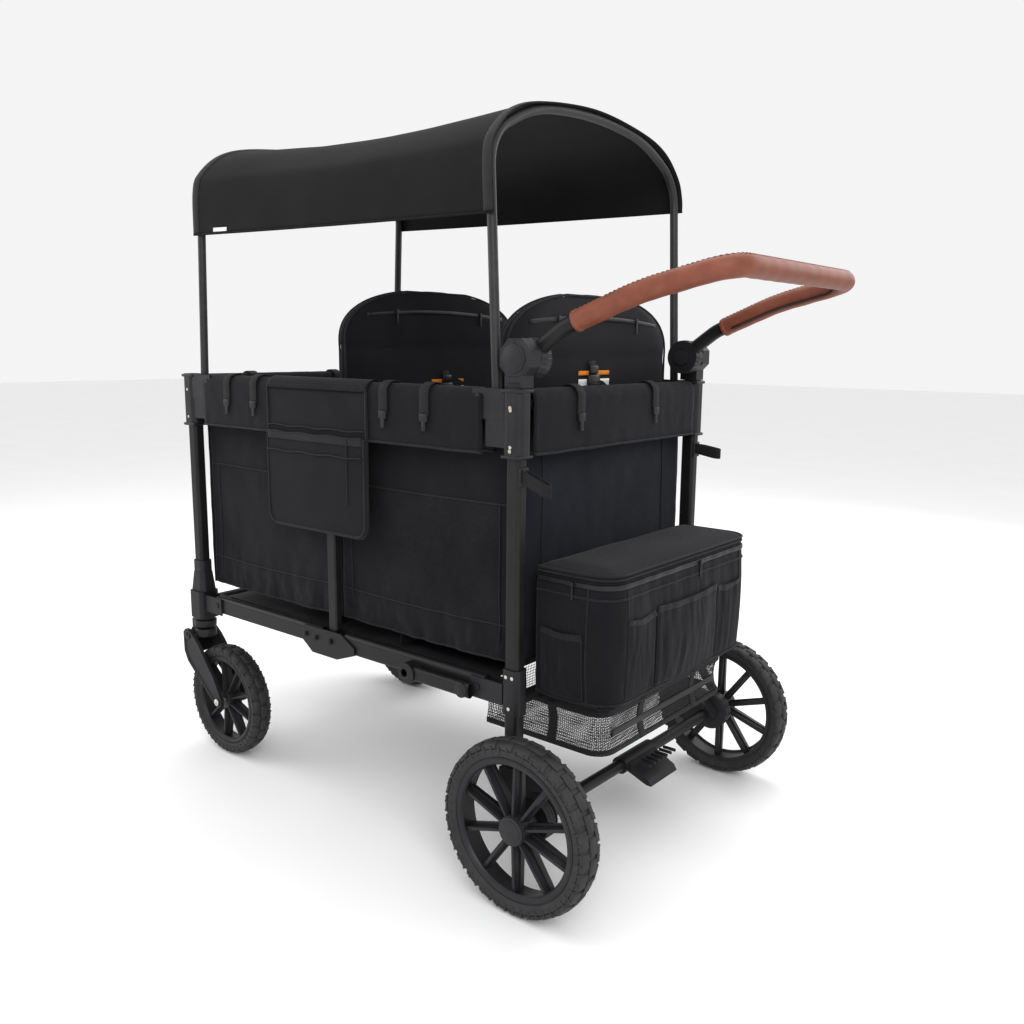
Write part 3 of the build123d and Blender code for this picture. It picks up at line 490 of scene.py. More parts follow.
def treadTyre(name, centre, radius, width, seat, body, node, lugs):
    # Tyre: a spun carcass with arched centre blocks and side lugs standing on it.
    bm = bmesh.new()
    half = width / 2
    crown = radius - 0.0042
    profile = [(seat, -half + 0.006), (seat + 0.006, -half + 0.001), (seat + 0.014, -half),
               (crown - 0.010, -half + 0.001), (crown - 0.003, -half + 0.004), (crown, -half + 0.011),
               (crown + 0.001, 0), (crown, half - 0.011), (crown - 0.003, half - 0.004),
               (crown - 0.010, half - 0.001), (seat + 0.014, half), (seat + 0.006, half - 0.001),
               (seat, half - 0.006)]
    spinProfile(bm, profile)
    step = 2 * math.pi / lugs

    def lug(angle, yLow, yHigh, arc, foot, rise, skew):
        verts = addBox(bm, (-arc / 2, yLow, 0), (arc / 2, yHigh, rise - foot))
        for v in verts:
            top = v.co.z > (rise - foot) / 2
            if top:
                v.co.x *= 0.88
                if abs(v.co.y) > half * 0.8:
                    v.co.y -= math.copysign(0.0025, v.co.y)
            v.co.x += skew * (abs(v.co.y) / half)
            v.co.z += foot - 0.5 * (abs(v.co.y) / half) ** 4 * 0.011
        cut = roundEdges(bm, edgesOf(verts), 0.0009, 1)
        verts = list({v for f in cut["faces"] for v in f.verts} | {v for v in verts if v.is_valid})
        turnVerts(bm, verts, angle)

    arcLength = crown * step
    for k in range(lugs):
        angle = k * step
        lug(angle, -half * 0.34, half * 0.34, arcLength * 0.84, crown - 0.001, radius - 0.0004, 0.0)
        for side in (-1, 1):
            low, high = sorted((side * half * 0.40, side * (half + 0.0002)))
            lug(angle + step * 0.5, low, high, arcLength * 0.86, crown - 0.002, radius - 0.0012, 0.0035)
    # low ribs down the shoulder, one below each side lug
    for k in range(lugs * 2):
        angle = (k + 0.5) * step / 2
        for side in (-1, 1):
            y = side * (half - 0.0008)
            low, high = sorted((y, y + side * 0.0010))
            verts = addBox(bm, (-0.0016, low, crown - 0.015), (0.0016, high, crown - 0.002))
            turnVerts(bm, verts, angle)
    bmesh.ops.translate(bm, vec=centre, verts=bm.verts)
    piece = finishPiece(name, bm, "rubber", body, [node])
    markSharp(piece, 0.7)
    return piece


def markSharp(piece, angle):
    # Keeps smooth shading off the hard edges.
    bm = bmesh.new()
    bm.from_mesh(piece.data)
    for edge in bm.edges:
        if len(edge.link_faces) == 2:
            edge.smooth = edge.calc_face_angle(0) < angle
    bm.to_mesh(piece.data)
    bm.free()


def spokedRim(name, centre, outer, yLow, yHigh, outward, body, node, s, cap):
    # Rim with a rolled lip, deep thin spokes that taper outwards, and a hub.
    bm = bmesh.new()
    lip = s["rimLip"]
    face, back = (yHigh, yLow) if outward > 0 else (yLow, yHigh)
    sign = outward
    profile = [(outer, back), (outer, face), (outer - lip * 0.4, face + sign * 0.0015),
               (outer - lip, face), (outer - lip * 1.25, face - sign * 0.004),
               (outer - lip * 0.8, face - sign * 0.009), (outer - lip * 0.7, back)]
    spinProfile(bm, profile)
    hubR = s["hub"]
    width = abs(face - back)
    yMid = (face + back) / 2
    addDisc(bm, (0, yMid, 0), acrossWagon, hubR, width, 40, 0.0015)
    if cap:
        addDisc(bm, (0, face + sign * 0.0018, 0), acrossWagon, hubR - 0.001, 0.0036, 48, 0.0012)
        addDisc(bm, (0, face + sign * 0.0038, 0), acrossWagon, hubR - 0.0065, 0.0012, 48, 0.0004)
    for k in range(s["spokes"]):
        angle = 2 * math.pi * (k + 0.5) / s["spokes"]
        inner, reach = hubR - 0.003, outer - lip * 0.85
        verts = addBox(bm, (inner, -0.5, -0.5), (reach, 0.5, 0.5))
        for v in verts:
            nearRim = v.co.x > (inner + reach) / 2
            faceY = face - sign * (0.006 if nearRim else 0.0015)
            deep = s["spokeDeep"] * (0.72 if nearRim else 1.0)
            onFace = v.co.y * sign > 0
            v.co.y = faceY if onFace else faceY - sign * deep
            thin = s["spokeThin"] * (1.0 if onFace else 1.7) * (1.5 if nearRim else 1.0)
            v.co.z = math.copysign(thin / 2, v.co.z)
        cut = roundEdges(bm, edgesOf(verts), 0.0008)
        verts = list({v for f in cut["faces"] for v in f.verts})
        turnVerts(bm, verts, angle)
        # web behind each spoke, wider at the back
        verts = addBox(bm, (inner, yMid - 0.002, -0.007), (reach, yMid + 0.001, 0.007), 0.0004, 1)
        turnVerts(bm, verts, angle)
    bmesh.ops.translate(bm, vec=centre, verts=bm.verts)
    piece = finishPiece(name, bm, "wheel", body, [node])
    markSharp(piece, 0.6)
    return piece


for side, sign in (("near", -1), ("far", 1)):
    for which, s, cap in (("rear", rearWheel, True), ("front", frontWheel, False)):
        low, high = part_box(f"{which}_tyre_{side}")
        centre = (low + high) / 2
        radius = high.z - centre.z
        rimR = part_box(f"{which}_rim_{side}")[1].z - centre.z
        body = f"{which}_wheel_{side}"
        treadTyre(f"{which}Tyre.{side}", centre, radius, high.y - low.y, rimR, body,
                  f"{which}_tyre_{side}", s["lugs"])
        yLow, yHigh = low.y + 0.005 - centre.y, high.y - 0.005 - centre.y
        spokedRim(f"{which}Rim.{side}", centre, rimR, yLow, yHigh, sign, body,
                  f"{which}_rim_{side}", s, cap)
print("wagon: wheels made")


# casters: swing forks and crowns
fork = {"arm": 0.008, "rim": 0.0022}
for side in ("near", "far"):
    low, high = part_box("swing_fork_" + side)
    crownLow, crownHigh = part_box("caster_crown_" + side)
    wheelLow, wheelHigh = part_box("front_tyre_" + side)
    wheelC = (wheelLow + wheelHigh) / 2
    midY = (low.y + high.y) / 2
    pivotX, pivotZ = low.x + 0.013, high.z - 0.013
    bm = bmesh.new()
    outline = [(pivotX - 0.013, pivotZ + 0.004), (pivotX - 0.004, pivotZ + 0.012),
               (pivotX + 0.008, pivotZ + 0.012), (pivotX + 0.030, pivotZ - 0.004),
               (pivotX + 0.046, pivotZ - 0.020),
               (wheelC.x - 0.012, wheelC.z + 0.050), (wheelC.x + 0.013, wheelC.z + 0.006),
               (wheelC.x + 0.012, wheelC.z - 0.008), (wheelC.x + 0.002, wheelC.z - 0.014),
               (wheelC.x - 0.011, wheelC.z - 0.010), (pivotX, pivotZ - 0.062),
               (pivotX - 0.012, pivotZ - 0.040)]
    for armSide in (-1, 1):
        outer = high.y if armSide > 0 else low.y
        inner = outer - armSide * fork["arm"]
        verts = [bm.verts.new((x, inner, z)) for x, z in outline]
        face = bm.faces.new(verts)
        grown = bmesh.ops.extrude_face_region(bm, geom=[face])
        top = [v for v in grown["geom"] if isinstance(v, bmesh.types.BMVert)]
        bmesh.ops.translate(bm, vec=(0, outer - inner, 0), verts=top)
        cap = [f for f in grown["geom"] if isinstance(f, bmesh.types.BMFace)][0]
        bmesh.ops.inset_region(bm, faces=[cap], thickness=0.0045, depth=0.0)
        bmesh.ops.inset_region(bm, faces=[cap], thickness=0.0012, depth=0.0)
        bmesh.ops.translate(bm, vec=(0, -armSide * fork["rim"], 0), verts=list(cap.verts))
        addDisc(bm, (pivotX, outer - armSide * 0.001, pivotZ), acrossWagon, 0.0115, 0.003, 28, 0.0008)
    # back plate and bridge over the wheel's front
    addBox(bm, (pivotX - 0.012, low.y + 0.004, pivotZ - 0.052),
           (pivotX - 0.005, high.y - 0.004, pivotZ - 0.014), 0.003)
    addBox(bm, (pivotX - 0.006, low.y + 0.006, pivotZ - 0.046),
           (pivotX + 0.008, low.y + 0.012, pivotZ - 0.01), 0.002)
    piece = finishPiece("swingFork." + side, bm, "plastic", "fork_" + side, ["swing_fork_" + side],
                        smooth=False)
    bevelPiece(piece, 0.0016, 2, 0.5)
    # crown: a short ribbed drum with the pivot lug and the elastomer behind it
    bm = bmesh.new()
    crownC = (frontX, midY)
    addDisc(bm, (crownC[0], crownC[1], crownHigh.z - 0.046), straightUp, 0.0235, 0.016, 40, 0.002, 0.0245)
    addDisc(bm, (crownC[0], crownC[1], crownHigh.z - 0.0345), straightUp, 0.0195, 0.006, 40, 0.001)
    addDisc(bm, (crownC[0], crownC[1], crownLow.z + 0.014), straightUp, 0.0245, 0.018, 40, 0.002, 0.0225)
    addDisc(bm, (crownC[0], crownC[1], crownHigh.z - 0.018), straightUp, 0.0079, 0.034, 24, 0.001)
    addBox(bm, (pivotX - 0.010, crownC[1] - 0.0145, crownLow.z + 0.001),
           (crownC[0], crownC[1] + 0.0145, crownHigh.z - 0.038), 0.004)
    for k in range(4):
        addBox(bm, (pivotX - 0.009 + k * 0.0046, crownC[1] - 0.0165, crownLow.z + 0.004),
               (pivotX - 0.007 + k * 0.0046, crownC[1] + 0.0165, crownLow.z + 0.020), 0.0006, 1)
    addDisc(bm, (pivotX, crownC[1], pivotZ), acrossWagon, 0.0048, high.y - low.y + 0.004, 20, 0.0008)
    finishPiece("casterCrown." + side, bm, "plastic", "caster_" + side, ["caster_crown_" + side])
    # socket-head bolts
    bm = bmesh.new()
    for boltSide in (-1, 1):
        edgeY = high.y if boltSide > 0 else low.y
        addDisc(bm, (wheelC.x, edgeY + boltSide * 0.0018, wheelC.z), acrossWagon,
                0.0078, 0.0048, 28, 0.0012)
        addDisc(bm, (wheelC.x, edgeY + boltSide * 0.0042, wheelC.z), acrossWagon, 0.0042, 0.0012, 6, 0.0)
        addDisc(bm, (pivotX, edgeY + boltSide * 0.0010, pivotZ), acrossWagon, 0.0042, 0.0016, 20, 0.0004)
    addDisc(bm, (wheelC.x, midY, wheelC.z), acrossWagon, 0.006, high.y - low.y, 20, 0.0006)
    finishPiece("axleBolt." + side, bm, "steel", "fork_" + side, ["front_axle_" + side])
print("wagon: casters made")


# fabric tub
tub = {"panelIn": 0.0172, "gather": 0.004, "billow": 0.004, "thick": 0.0018, "window": (0.062, 0.62)}
panelLow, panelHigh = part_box("side_panels")


def sidePanel(name, sign, xLow, xHigh, node):
    # Side cloth of one bay: slight belly, a seam across it and gathers at the hem.
    yOut = sign * (sideY - tub["panelIn"] - 0.0012)

    def place(u, v):
        x = xLow + (xHigh - xLow) * u
        z = panelLow.z + (panelHigh.z - panelLow.z) * v
        belly = math.sin(math.pi * u) * math.sin(math.pi * min(1, v * 1.1)) * tub["billow"]
        pull = smoothStep((0.3 - v) / 0.3)
        gather = pull * tub["gather"] * (ripple(x, z * 0.4, 30, sign) + 0.5 * ripple(x, z, 75, 2 + sign))
        crease = 0.0020 * ripple(x + z * 0.35, z, 9, 5 + sign) + 0.0012 * ripple(x, z, 24, 9)
        lowHem = -0.004 * math.sin(math.pi * u) * (1 - v)
        y = yOut - sign * (0.004 - belly - gather - crease)
        return (x, y, z + lowHem)

    bm = bmesh.new()
    gridSheet(bm, 90, 70, place)
    lower = panelLow.z + (panelHigh.z - panelLow.z) * tub["window"][1]
    seam = panelLow.z + tub["window"][0]
    for face in bm.faces:
        c = face.calc_center_median()
        face.material_index = 1 if seam < c.z < lower and xLow + 0.03 < c.x < xHigh - 0.03 else 0
    piece = finishPiece(name, bm, "body", "rear_frame", [node], extra=["panelMesh"])
    thicken(piece, tub["thick"])
    applyAll(piece)
    shorten(piece)
    # piping round the mesh window and along the hem
    proud = Vector((0, sign * 0.0016, 0))
    wide, tall = xHigh - xLow, panelHigh.z - panelLow.z
    lines = []
    for z in (panelLow.z + 0.003, seam, lower):
        lines.append([Vector(place((0.004 + (wide - 0.008) * k / 60) / wide, (z - panelLow.z) / tall)) + proud
                      for k in range(61)])
    for x in (0.03, wide - 0.03):
        lines.append([Vector(place(x / wide, v / 40)) + proud for v in range(3, 26)])
    pipe = cordPiece(name + ".piping", lines, 0.0017, "piping", "rear_frame", 6, up=(0, 1, 0))
    shorten(pipe)
    return piece


for sideName, sign in (("near", -1), ("far", 1)):
    sidePanel(f"sidePanel.{sideName}.front", sign, panelLow.x, midX - 0.001, "side_panels")
    sidePanel(f"sidePanel.{sideName}.rear", sign, midX + 0.001, panelHigh.x, "side_panels")


def endPanel(name, node, endX, inward, material, body):
    # End wall: cloth with soft vertical creases, hung inside the posts.
    low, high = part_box(node)
    wallX = endX + inward * 0.0185
    yHalf = high.y - 0.0005
    zLow, zHigh = low.z, low.z + 0.433

    def place(u, v):
        y = -yHalf + 2 * yHalf * u
        z = zLow + (zHigh - zLow) * v
        swell = -inward * 0.010 * math.sin(math.pi * u) * math.sin(math.pi * v)
        crease = 0.0022 * ripple(y + 0.2 * z, z, 10, 3) + 0.0012 * ripple(y, z, 30, 7)
        return (wallX + swell + crease, y, z)

    piece = sheetPiece(name, place, (60, 60), material, body, tub["thick"])
    lines = [[Vector(place(u, v / 40)) - Vector((inward * 0.0016, 0, 0)) for v in range(1, 36)]
             for u in (0.13, 0.87)]
    cordPiece(name + ".piping", lines, 0.0015, "piping", body, 6, up=(1, 0, 0))
    return piece


endPanel("rearPanel", "rear_panel", rearX, -1, "rearPanel", "rear_frame")
endPanel("frontPanel", "front_panel", frontX, 1, "body", "front_frame")


# padded rolls over the rails
roll = {"drop": 0.090, "crown": 0.0155, "half": 0.0166, "puff": 0.0032, "hem": 0.0026}


def railRoll(name, start, end, outward, half, drop, body, nodes, seed=1.0):
    # Cloth folded over a rail: rounded top, two skirts with soft ripples, piped hems.
    start, end = Vector(start), Vector(end)
    along = (end - start)
    length = along.length
    along.normalize()
    out = Vector(outward)
    section = []
    arcSteps = 12
    for k in range(9):
        section.append((half, -drop + drop * 0.92 * k / 8))
    for k in range(1, arcSteps):
        a = math.pi * k / arcSteps
        section.append((half * math.cos(a),
                        -drop * 0.08 + (roll["crown"] + drop * 0.08 - 0.002) * math.sin(a)))
    for k in range(9):
        section.append((-half, -drop + drop * 0.92 * (8 - k) / 8))
    steps = max(12, int(length / 0.008))
    rows = len(section) - 1

    def place(u, v):
        i = min(rows, int(round(v * rows)))
        across, up = section[i]
        d = u * length
        wave = ripple(d, across * 4 + up * 0.8, 26, seed) * roll["puff"]
        wave *= 0.6 + 0.6 * smoothStep(-up / drop)
        wave += 0.0012 * ripple(d, up, 70, seed + 3)
        push = math.copysign(1, across) * abs(wave) if abs(across) > half * 0.5 else 0
        rise = abs(wave) * 0.7 if up > 0 else 0
        sagHem = -0.003 * abs(ripple(d, 0, 9, seed + 5)) * smoothStep(-up / drop)
        return start + along * d + out * (across - push * 0.6) + Vector((0, 0, up - rise + sagHem))

    piece = sheetPiece(name, place, (steps, rows), "body", body, tub["thick"], nodes)
    hemLines = [[place(k / 70, end) for k in range(71)] for end in (0, 1)]
    cordPiece(name + ".hem", hemLines, roll["hem"], "piping", body)


for sideName, sign in (("near", -1), ("far", 1)):
    y = sign * sideY
    rearEnd, frontEnd = rearX - 0.060, frontX + 0.060
    top = railZ
    railRoll(f"sideRoll.{sideName}.rear", (midX + 0.040, y, top), (rearEnd, y, top), (0, sign, 0),
             roll["half"], roll["drop"], "top_rear", ["side_rolls"], seed=2 + sign)
    railRoll(f"sideRoll.{sideName}.front", (frontEnd, y, top), (midX - 0.045, y, top), (0, sign, 0),
             roll["half"], roll["drop"], "top_front", ["side_rolls"], seed=6 + sign)
rollHalfY = sideY - 0.022
railRoll("rearRoll", (rearX, -rollHalfY, railZ - 0.001), (rearX, rollHalfY, railZ - 0.001), (1, 0, 0),
         roll["half"] + 0.0004, roll["drop"], "rear_frame", ["rear_panel"], seed=11)
railRoll("frontRoll", (frontX, -rollHalfY, railZ - 0.001), (frontX, rollHalfY, railZ - 0.001), (1, 0, 0),
         roll["half"] + 0.0004, roll["drop"], "front_frame", ["front_panel"], seed=15)
print("wagon: tub made")


# webbing loops round the rails
loop = {"wide": 0.022, "thick": 0.0022}


def railLoop(name, centre, outward, body, low):
    # A webbing loop wrapped round a padded rail, with its stitched tail and hook.
    out = Vector(outward)
    c = Vector(centre)
    half = roll["half"] + 0.0042
    line = []
    for k in range(5):
        line.append(c + out * half + Vector((0, 0, -low + low * k / 5)))
    for k in range(9):
        a = math.pi * k / 8
        line.append(c + out * half * math.cos(a) + Vector((0, 0, 0.0175 * math.sin(a))))
    for k in range(1, 6):
        line.append(c - out * half + Vector((0, 0, -low * k / 5)))
    side = out.cross(Vector((0, 0, 1)))
    strapPiece(name, [line], loop["wide"], loop["thick"], "webbing", body,
               up=tuple(out + Vector((0, 0, 0.01))))
    bm = bmesh.new()
    foot = c + out * (half + 0.0012) + Vector((0, 0, -low - 0.004))
    size = side * loop["wide"] * 0.42
    a = foot - size - out * 0.002 - Vector((0, 0, 0.006))
    b = foot + size + out * 0.002 + Vector((0, 0, 0.008))
    addBox(bm, [min(a[i], b[i]) for i in range(3)], [max(a[i], b[i]) for i in range(3)], 0.0012)
    hook = foot - Vector((0, 0, 0.012))
    a = hook - size * 0.5 - out * 0.0016 - Vector((0, 0, 0.010))
    b = hook + size * 0.5 + out * 0.0016 + Vector((0, 0, 0.008))
    addBox(bm, [min(a[i], b[i]) for i in range(3)], [max(a[i], b[i]) for i in range(3)], 0.0014)
    finishPiece(name + ".hook", bm, "plastic", body)


for sideName, sign in (("near", -1), ("far", 1)):
    for k, (x, body) in enumerate(((frontX + 0.150, "top_front"), (frontX + 0.240, "top_front"),
                                   (midX + 0.165, "top_rear"), (midX + 0.265, "top_rear"))):
        railLoop(f"railLoop.{sideName}.{k}", (x, sign * sideY, railZ), (0, sign, 0), body, 0.038)
for k, y in enumerate((-0.135, 0.105)):
    railLoop(f"rearLoop.{k}", (rearX, y, railZ - 0.001), (1, 0, 0), "rear_frame", 0.034)
    railLoop(f"frontLoop.{k}", (frontX, y, railZ - 0.001), (-1, 0, 0), "front_frame", 0.034)
print("wagon: rail loops made")


# canopy
canopy = {"hem": 0.020, "sag": 0.020, "overhang": 0.0125, "thick": 0.0014}
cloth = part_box("canopy_cloth")
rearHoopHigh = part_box("rear_hoop")[1]
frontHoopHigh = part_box("front_hoop")[1]
lean = math.radians(2.5)


def hoopPoint(which, t):
    # A point of a hoop's arch; t runs from 0 at the pocket side's cloth edge to 1 at the far edge.
    rear = which == "rear"
    inward = -1 if rear else 1
    footX = (rearX if rear else frontX) + inward * 0.042
    crown = (rearHoopHigh if rear else frontHoopHigh).z - 0.008 - railZ
    extra = crown - 0.480
    grow = 0.0098
    wide, top = sideY + grow, crown + grow
    nearLow, farLow = 0.290 + extra, 0.352 + extra
    pts = [(-wide, nearLow), (-wide, top - 0.115), (-wide + 0.014, top - 0.078),
           (-wide * 0.78, top - 0.036), (-wide * 0.5, top - 0.013), (0, top), (wide * 0.5, top - 0.013),
           (wide * 0.78, top - 0.036),
           (wide - 0.014, top - 0.078), (wide, top - 0.115), (wide, farLow)]
    fine = smoothCurve([(y, z, 0) for y, z in pts], 10)
    lengths = [0]
    for a, b in zip(fine, fine[1:]):
        lengths.append(lengths[-1] + (b - a).length)
    want = t * lengths[-1]
    for i in range(len(fine) - 1):
        if lengths[i + 1] >= want:
            f = (want - lengths[i]) / max(1e-9, lengths[i + 1] - lengths[i])
            p = fine[i].lerp(fine[i + 1], f)
            break
    return Vector((footX + inward * p.y * math.sin(lean), p.x, railZ + p.y * math.cos(lean)))


def canopyPoint(t, s):
    # t across the arch, s from rear hem (0) to front hem (1).
    a, b = hoopPoint("rear", t), hoopPoint("front", t)
    along = (b - a).normalized()
    a = a - along * canopy["overhang"]
    b = b + along * canopy["overhang"]
    p = a.lerp(b, s)
    inwards = Vector((0, -p.y, railZ + 0.25 - p.z)).normalized()
    dip = math.sin(math.pi * s) * canopy["sag"]
    edge = min(t, 1 - t)
    dip *= 0.25 + 0.75 * smoothStep(edge / 0.22)
    wrinkle = 0.0010 * ripple(t * 1.2, s * 0.9, 9, 4) * math.sin(math.pi * s)
    return p + inwards * (dip + wrinkle)


canopyCloth = sheetPiece("canopyCloth", canopyPoint, (110, 90), "canopy", "rear_canopy", canopy["thick"],
                         ["canopy_cloth"])
clothLength = (canopyPoint(0.5, 1) - canopyPoint(0.5, 0)).length
shorten(canopyCloth)


def canopyBand(name, sLow, sHigh, lift, material):
    # A binding sewn over the cloth along a hoop.
    def place(u, v):
        t = 0.002 + 0.996 * u
        p = canopyPoint(t, sLow + (sHigh - sLow) * v)
        outwards = -Vector((0, -p.y, railZ + 0.25 - p.z)).normalized()
        return p + outwards * (lift + 0.0022 * math.sin(math.pi * v))

    shorten(sheetPiece(name, place, (110, 6), material, "rear_canopy", 0.0012))


share = 0.020 / clothLength
canopyBand("canopyBinding.rear", 0.0005, share, 0.0009, "binding")
canopyBand("canopyBinding.front", 1 - share, 0.9995, 0.0009, "binding")
hemLines = [[canopyPoint(t, k / 80) for k in range(81)] for t in (0.0, 1.0)]
hem = cordPiece("canopyHem", hemLines, 0.0021, "canopy", "rear_canopy", 8)
shorten(hem)
# a small plain tag at the front hem


def tagPlace(u, v):
    return canopyPoint(0.004 + 0.010 * v, 0.86 + 0.055 * u) + Vector((0, -0.0014, 0))


shorten(sheetPiece("canopyTag", tagPlace, (8, 4), "label", "rear_canopy", 0.0006))
print("wagon: canopy made")


# padded pieces
padding = {"voxel": 0.006, "pressure": 4.0, "frames": 18, "cap": 0.009, "cuts": 34}


def padShape(bm, cuts, place):
    # A finely cut cube whose points are placed by place(u, v, w), each from -1 to 1.
    made = bmesh.ops.create_cube(bm, size=2)
    bmesh.ops.subdivide_edges(bm, edges=edgesOf(made["verts"]), cuts=cuts, use_grid_fill=True)
    for v in bm.verts:
        v.co = Vector(place(v.co.x, v.co.y, v.co.z))
    bmesh.ops.remove_doubles(bm, verts=bm.verts, dist=0.0002)


def puffUp(piece, stitched):
    # Fills a pad with a cloth simulation: the stitched points hold, the rest swells to the cap.
    mod = piece.modifiers.new("even cells", "REMESH")
    mod.mode = "VOXEL"
    mod.voxel_size = padding["voxel"]
    mod.use_smooth_shade = True
    applyAll(piece)
    rest = [v.co.copy() for v in piece.data.vertices]
    held = piece.vertex_groups.new(name="stitched")
    for v in piece.data.vertices:
        held.add([v.index], stitched(v.co), "REPLACE")
    cloth = piece.modifiers.new("filling", "CLOTH")
    cloth.settings.quality = 4
    cloth.settings.mass = 0.3
    cloth.settings.tension_stiffness = 22
    cloth.settings.compression_stiffness = 22
    cloth.settings.bending_stiffness = 1.2
    cloth.settings.use_pressure = True
    cloth.settings.uniform_pressure_force = padding["pressure"]
    cloth.settings.effector_weights.gravity = 0
    cloth.settings.vertex_group_mass = "stitched"
    cloth.collision_settings.use_collision = False
    cloth.point_cache.frame_start = 1
    cloth.point_cache.frame_end = padding["frames"]
    for step in range(1, padding["frames"] + 1):
        scene.frame_set(step)
    applyAll(piece)
    scene.frame_set(1)
    for v, before in zip(piece.data.vertices, rest):
        moved = v.co - before
        if moved.length > padding["cap"]:
            v.co = before + moved.normalized() * padding["cap"]
    subdivide(piece, 1)
    applyAll(piece)
    for face in piece.data.polygons:
        face.use_smooth = True
    return piece


def outlineHalf(z, low, high, half):
    # Half width of a seat back at height z: straight sides, then a broad arched top.
    top = high - z
    if top > 0.172:
        return half - 0.004 * smoothStep((top - 0.172) / 0.20)
    if top > 0.115:
        return half
    t = min(1.0, (0.115 - top) / 0.115)
    return half * (1 - t ** 2.6) ** (1 / 2.1) + 0.010 * t


def seatBack(name, node, body, face, strapY):
    # Padded back: swollen panels between seams, piping round the edge, zip near the top, label and buckle.
    low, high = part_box(node)
    isRear = node == "rear_seat_back"
    xMid = (low.x + high.x) / 2 if not isRear else low.x + 0.018
    half = high.y - 0.003
    thick = 0.0158
    zLow, zHigh = low.z + 0.002, high.z - 0.001
    seams = [zLow + 0.075, zHigh - 0.112]

    def place(u, v, w):
        z = zLow + (zHigh - zLow) * (v + 1) / 2
        wide = max(0.02, outlineHalf(z, zLow, zHigh, half))
        y = u * wide
        edge = min(wide - abs(y), z - zLow, zHigh - z)
        swell = smoothStep(min(1, max(0, edge) / 0.045)) ** 0.6
        dent = sum(math.exp(-((z - s) / 0.007) ** 2) for s in seams)
        t = thick * (0.40 + 0.60 * swell) * (1 - 0.30 * min(1, dent))
        puff = 0.0012 * ripple(y, z, 14, 3 + w)
        return (xMid + w * (t + puff * swell), y, z)

    bm = bmesh.new()
    padShape(bm, padding["cuts"], place)
    piece = finishPiece(name, bm, "body", body, [node])

    def stitched(p):
        wide = outlineHalf(p.z, zLow, zHigh, half)
        edge = min(wide - abs(p.y), p.z - zLow, zHigh - p.z)
        if edge < 0.016 or min(abs(p.z - s) for s in seams) < 0.006:
            return 1.0
        return 0.0

    puffUp(piece, stitched)
    # piping round both faces
    ring = []
    steps = 46
    for k in range(steps + 1):
        z = zLow + 0.006 + (zHigh - zLow - 0.010) * (1 - (1 - k / steps) ** 1.8)
        ring.append((outlineHalf(z, zLow, zHigh, half) - 0.0035, z))
    outline = [(y, z) for y, z in ring] + [(-y, z) for y, z in reversed(ring)]
    lines = [[Vector((xMid + side * 0.0078, y, z)) for y, z in outline] for side in (-1, 1)]
    cordPiece(name + ".piping", lines, 0.0019, "piping", body, 8, up=(1, 0, 0))
    # zip across the top part with a pull at each end
    zipZ = zHigh - 0.052
    bm = bmesh.new()
    wide = outlineHalf(zipZ, zLow, zHigh, half) * 0.86
    line = [Vector((xMid - face * (0.0182 - 0.0030 * t * t), t * wide, zipZ + 0.010 * (1 - t * t)))
            for t in [k / 24 for k in range(-24, 25)]]
    addSection(bm, line, flatSection(0.0075, 0.0024), (face, 0, 0))
    for pullY in (-wide * 0.62, wide * 0.62):
        at = Vector((xMid - face * 0.0196, pullY, zipZ + 0.006))
        boxAt(bm, at, (0.0016, 0.0032, 0.004), (0.0016, 0.0032, 0.006), 0.001)
        boxAt(bm, at, (0.0012, 0.0022, 0.022), (0.0012, 0.0022, -0.003), 0.0009)
    finishPiece(name + ".zip", bm, "zip", body)
    # webbing with a buckle and a plain folded label on the outward face
    faceX = xMid - face * 0.0165
    strapZ = seams[0] + (0.150 if isRear else 0.135)
    line = [Vector((faceX - face * (0.002 + 0.004 * math.sin(k / 9 * math.pi)),
                    strapY + 0.004 * math.sin(k / 3), strapZ + 0.030 - 0.012 * k)) for k in range(10)]
    strapPiece(name + ".strap", [line], 0.020, 0.0018, "webbing", body, up=(1, 0, 0))
    bm = bmesh.new()
    at = Vector((faceX - face * 0.0068, strapY, strapZ - 0.002))
    boxAt(bm, at, (0.0042, 0.0145, 0.020), (0.0042, 0.0145, 0.008), 0.0032, 3)
    addBox(bm, at + Vector((-0.0036, -0.012, 0.009)), at + Vector((0.0036, 0.012, 0.024)), 0.0028, 3)
    for arm in (-1, 1):
        boxAt(bm, at + Vector((0, arm * 0.0155, 0)), (0.003, 0.0018, 0.010), (0.003, 0.0018, 0.006), 0.0014)
    for rib in range(3):
        addBox(bm, at + Vector((-0.0049 if face > 0 else 0.0040, -0.009, -0.015 + rib * 0.005)),
               at + Vector((-0.0040 if face > 0 else 0.0049, 0.009, -0.013 + rib * 0.005)), 0.0003, 1)
    finishPiece(name + ".buckle", bm, "gloss", body)
    for part, lift, look, tall in (("label", -0.012, "label", 0.020), ("band", 0.0085, "orange", 0.008)):

        def placeLabel(u, v):
            proud = 0.0012 + 0.0010 * math.sin(u * 7) + 0.001 * v
            return (faceX - face * proud, strapY - 0.040 + 0.096 * u, strapZ + lift + tall * (v - 0.5))

        sheetPiece(f"{name}.{part}", placeLabel, (20, 4), look, body, 0.0007)


seatBack("frontSeatBack", "front_seat_back", "front_back", -1, 0.012)
seatBack("rearSeatBack", "rear_seat_back", "rear_back", -1, -0.022)
print("wagon: seat backs made")


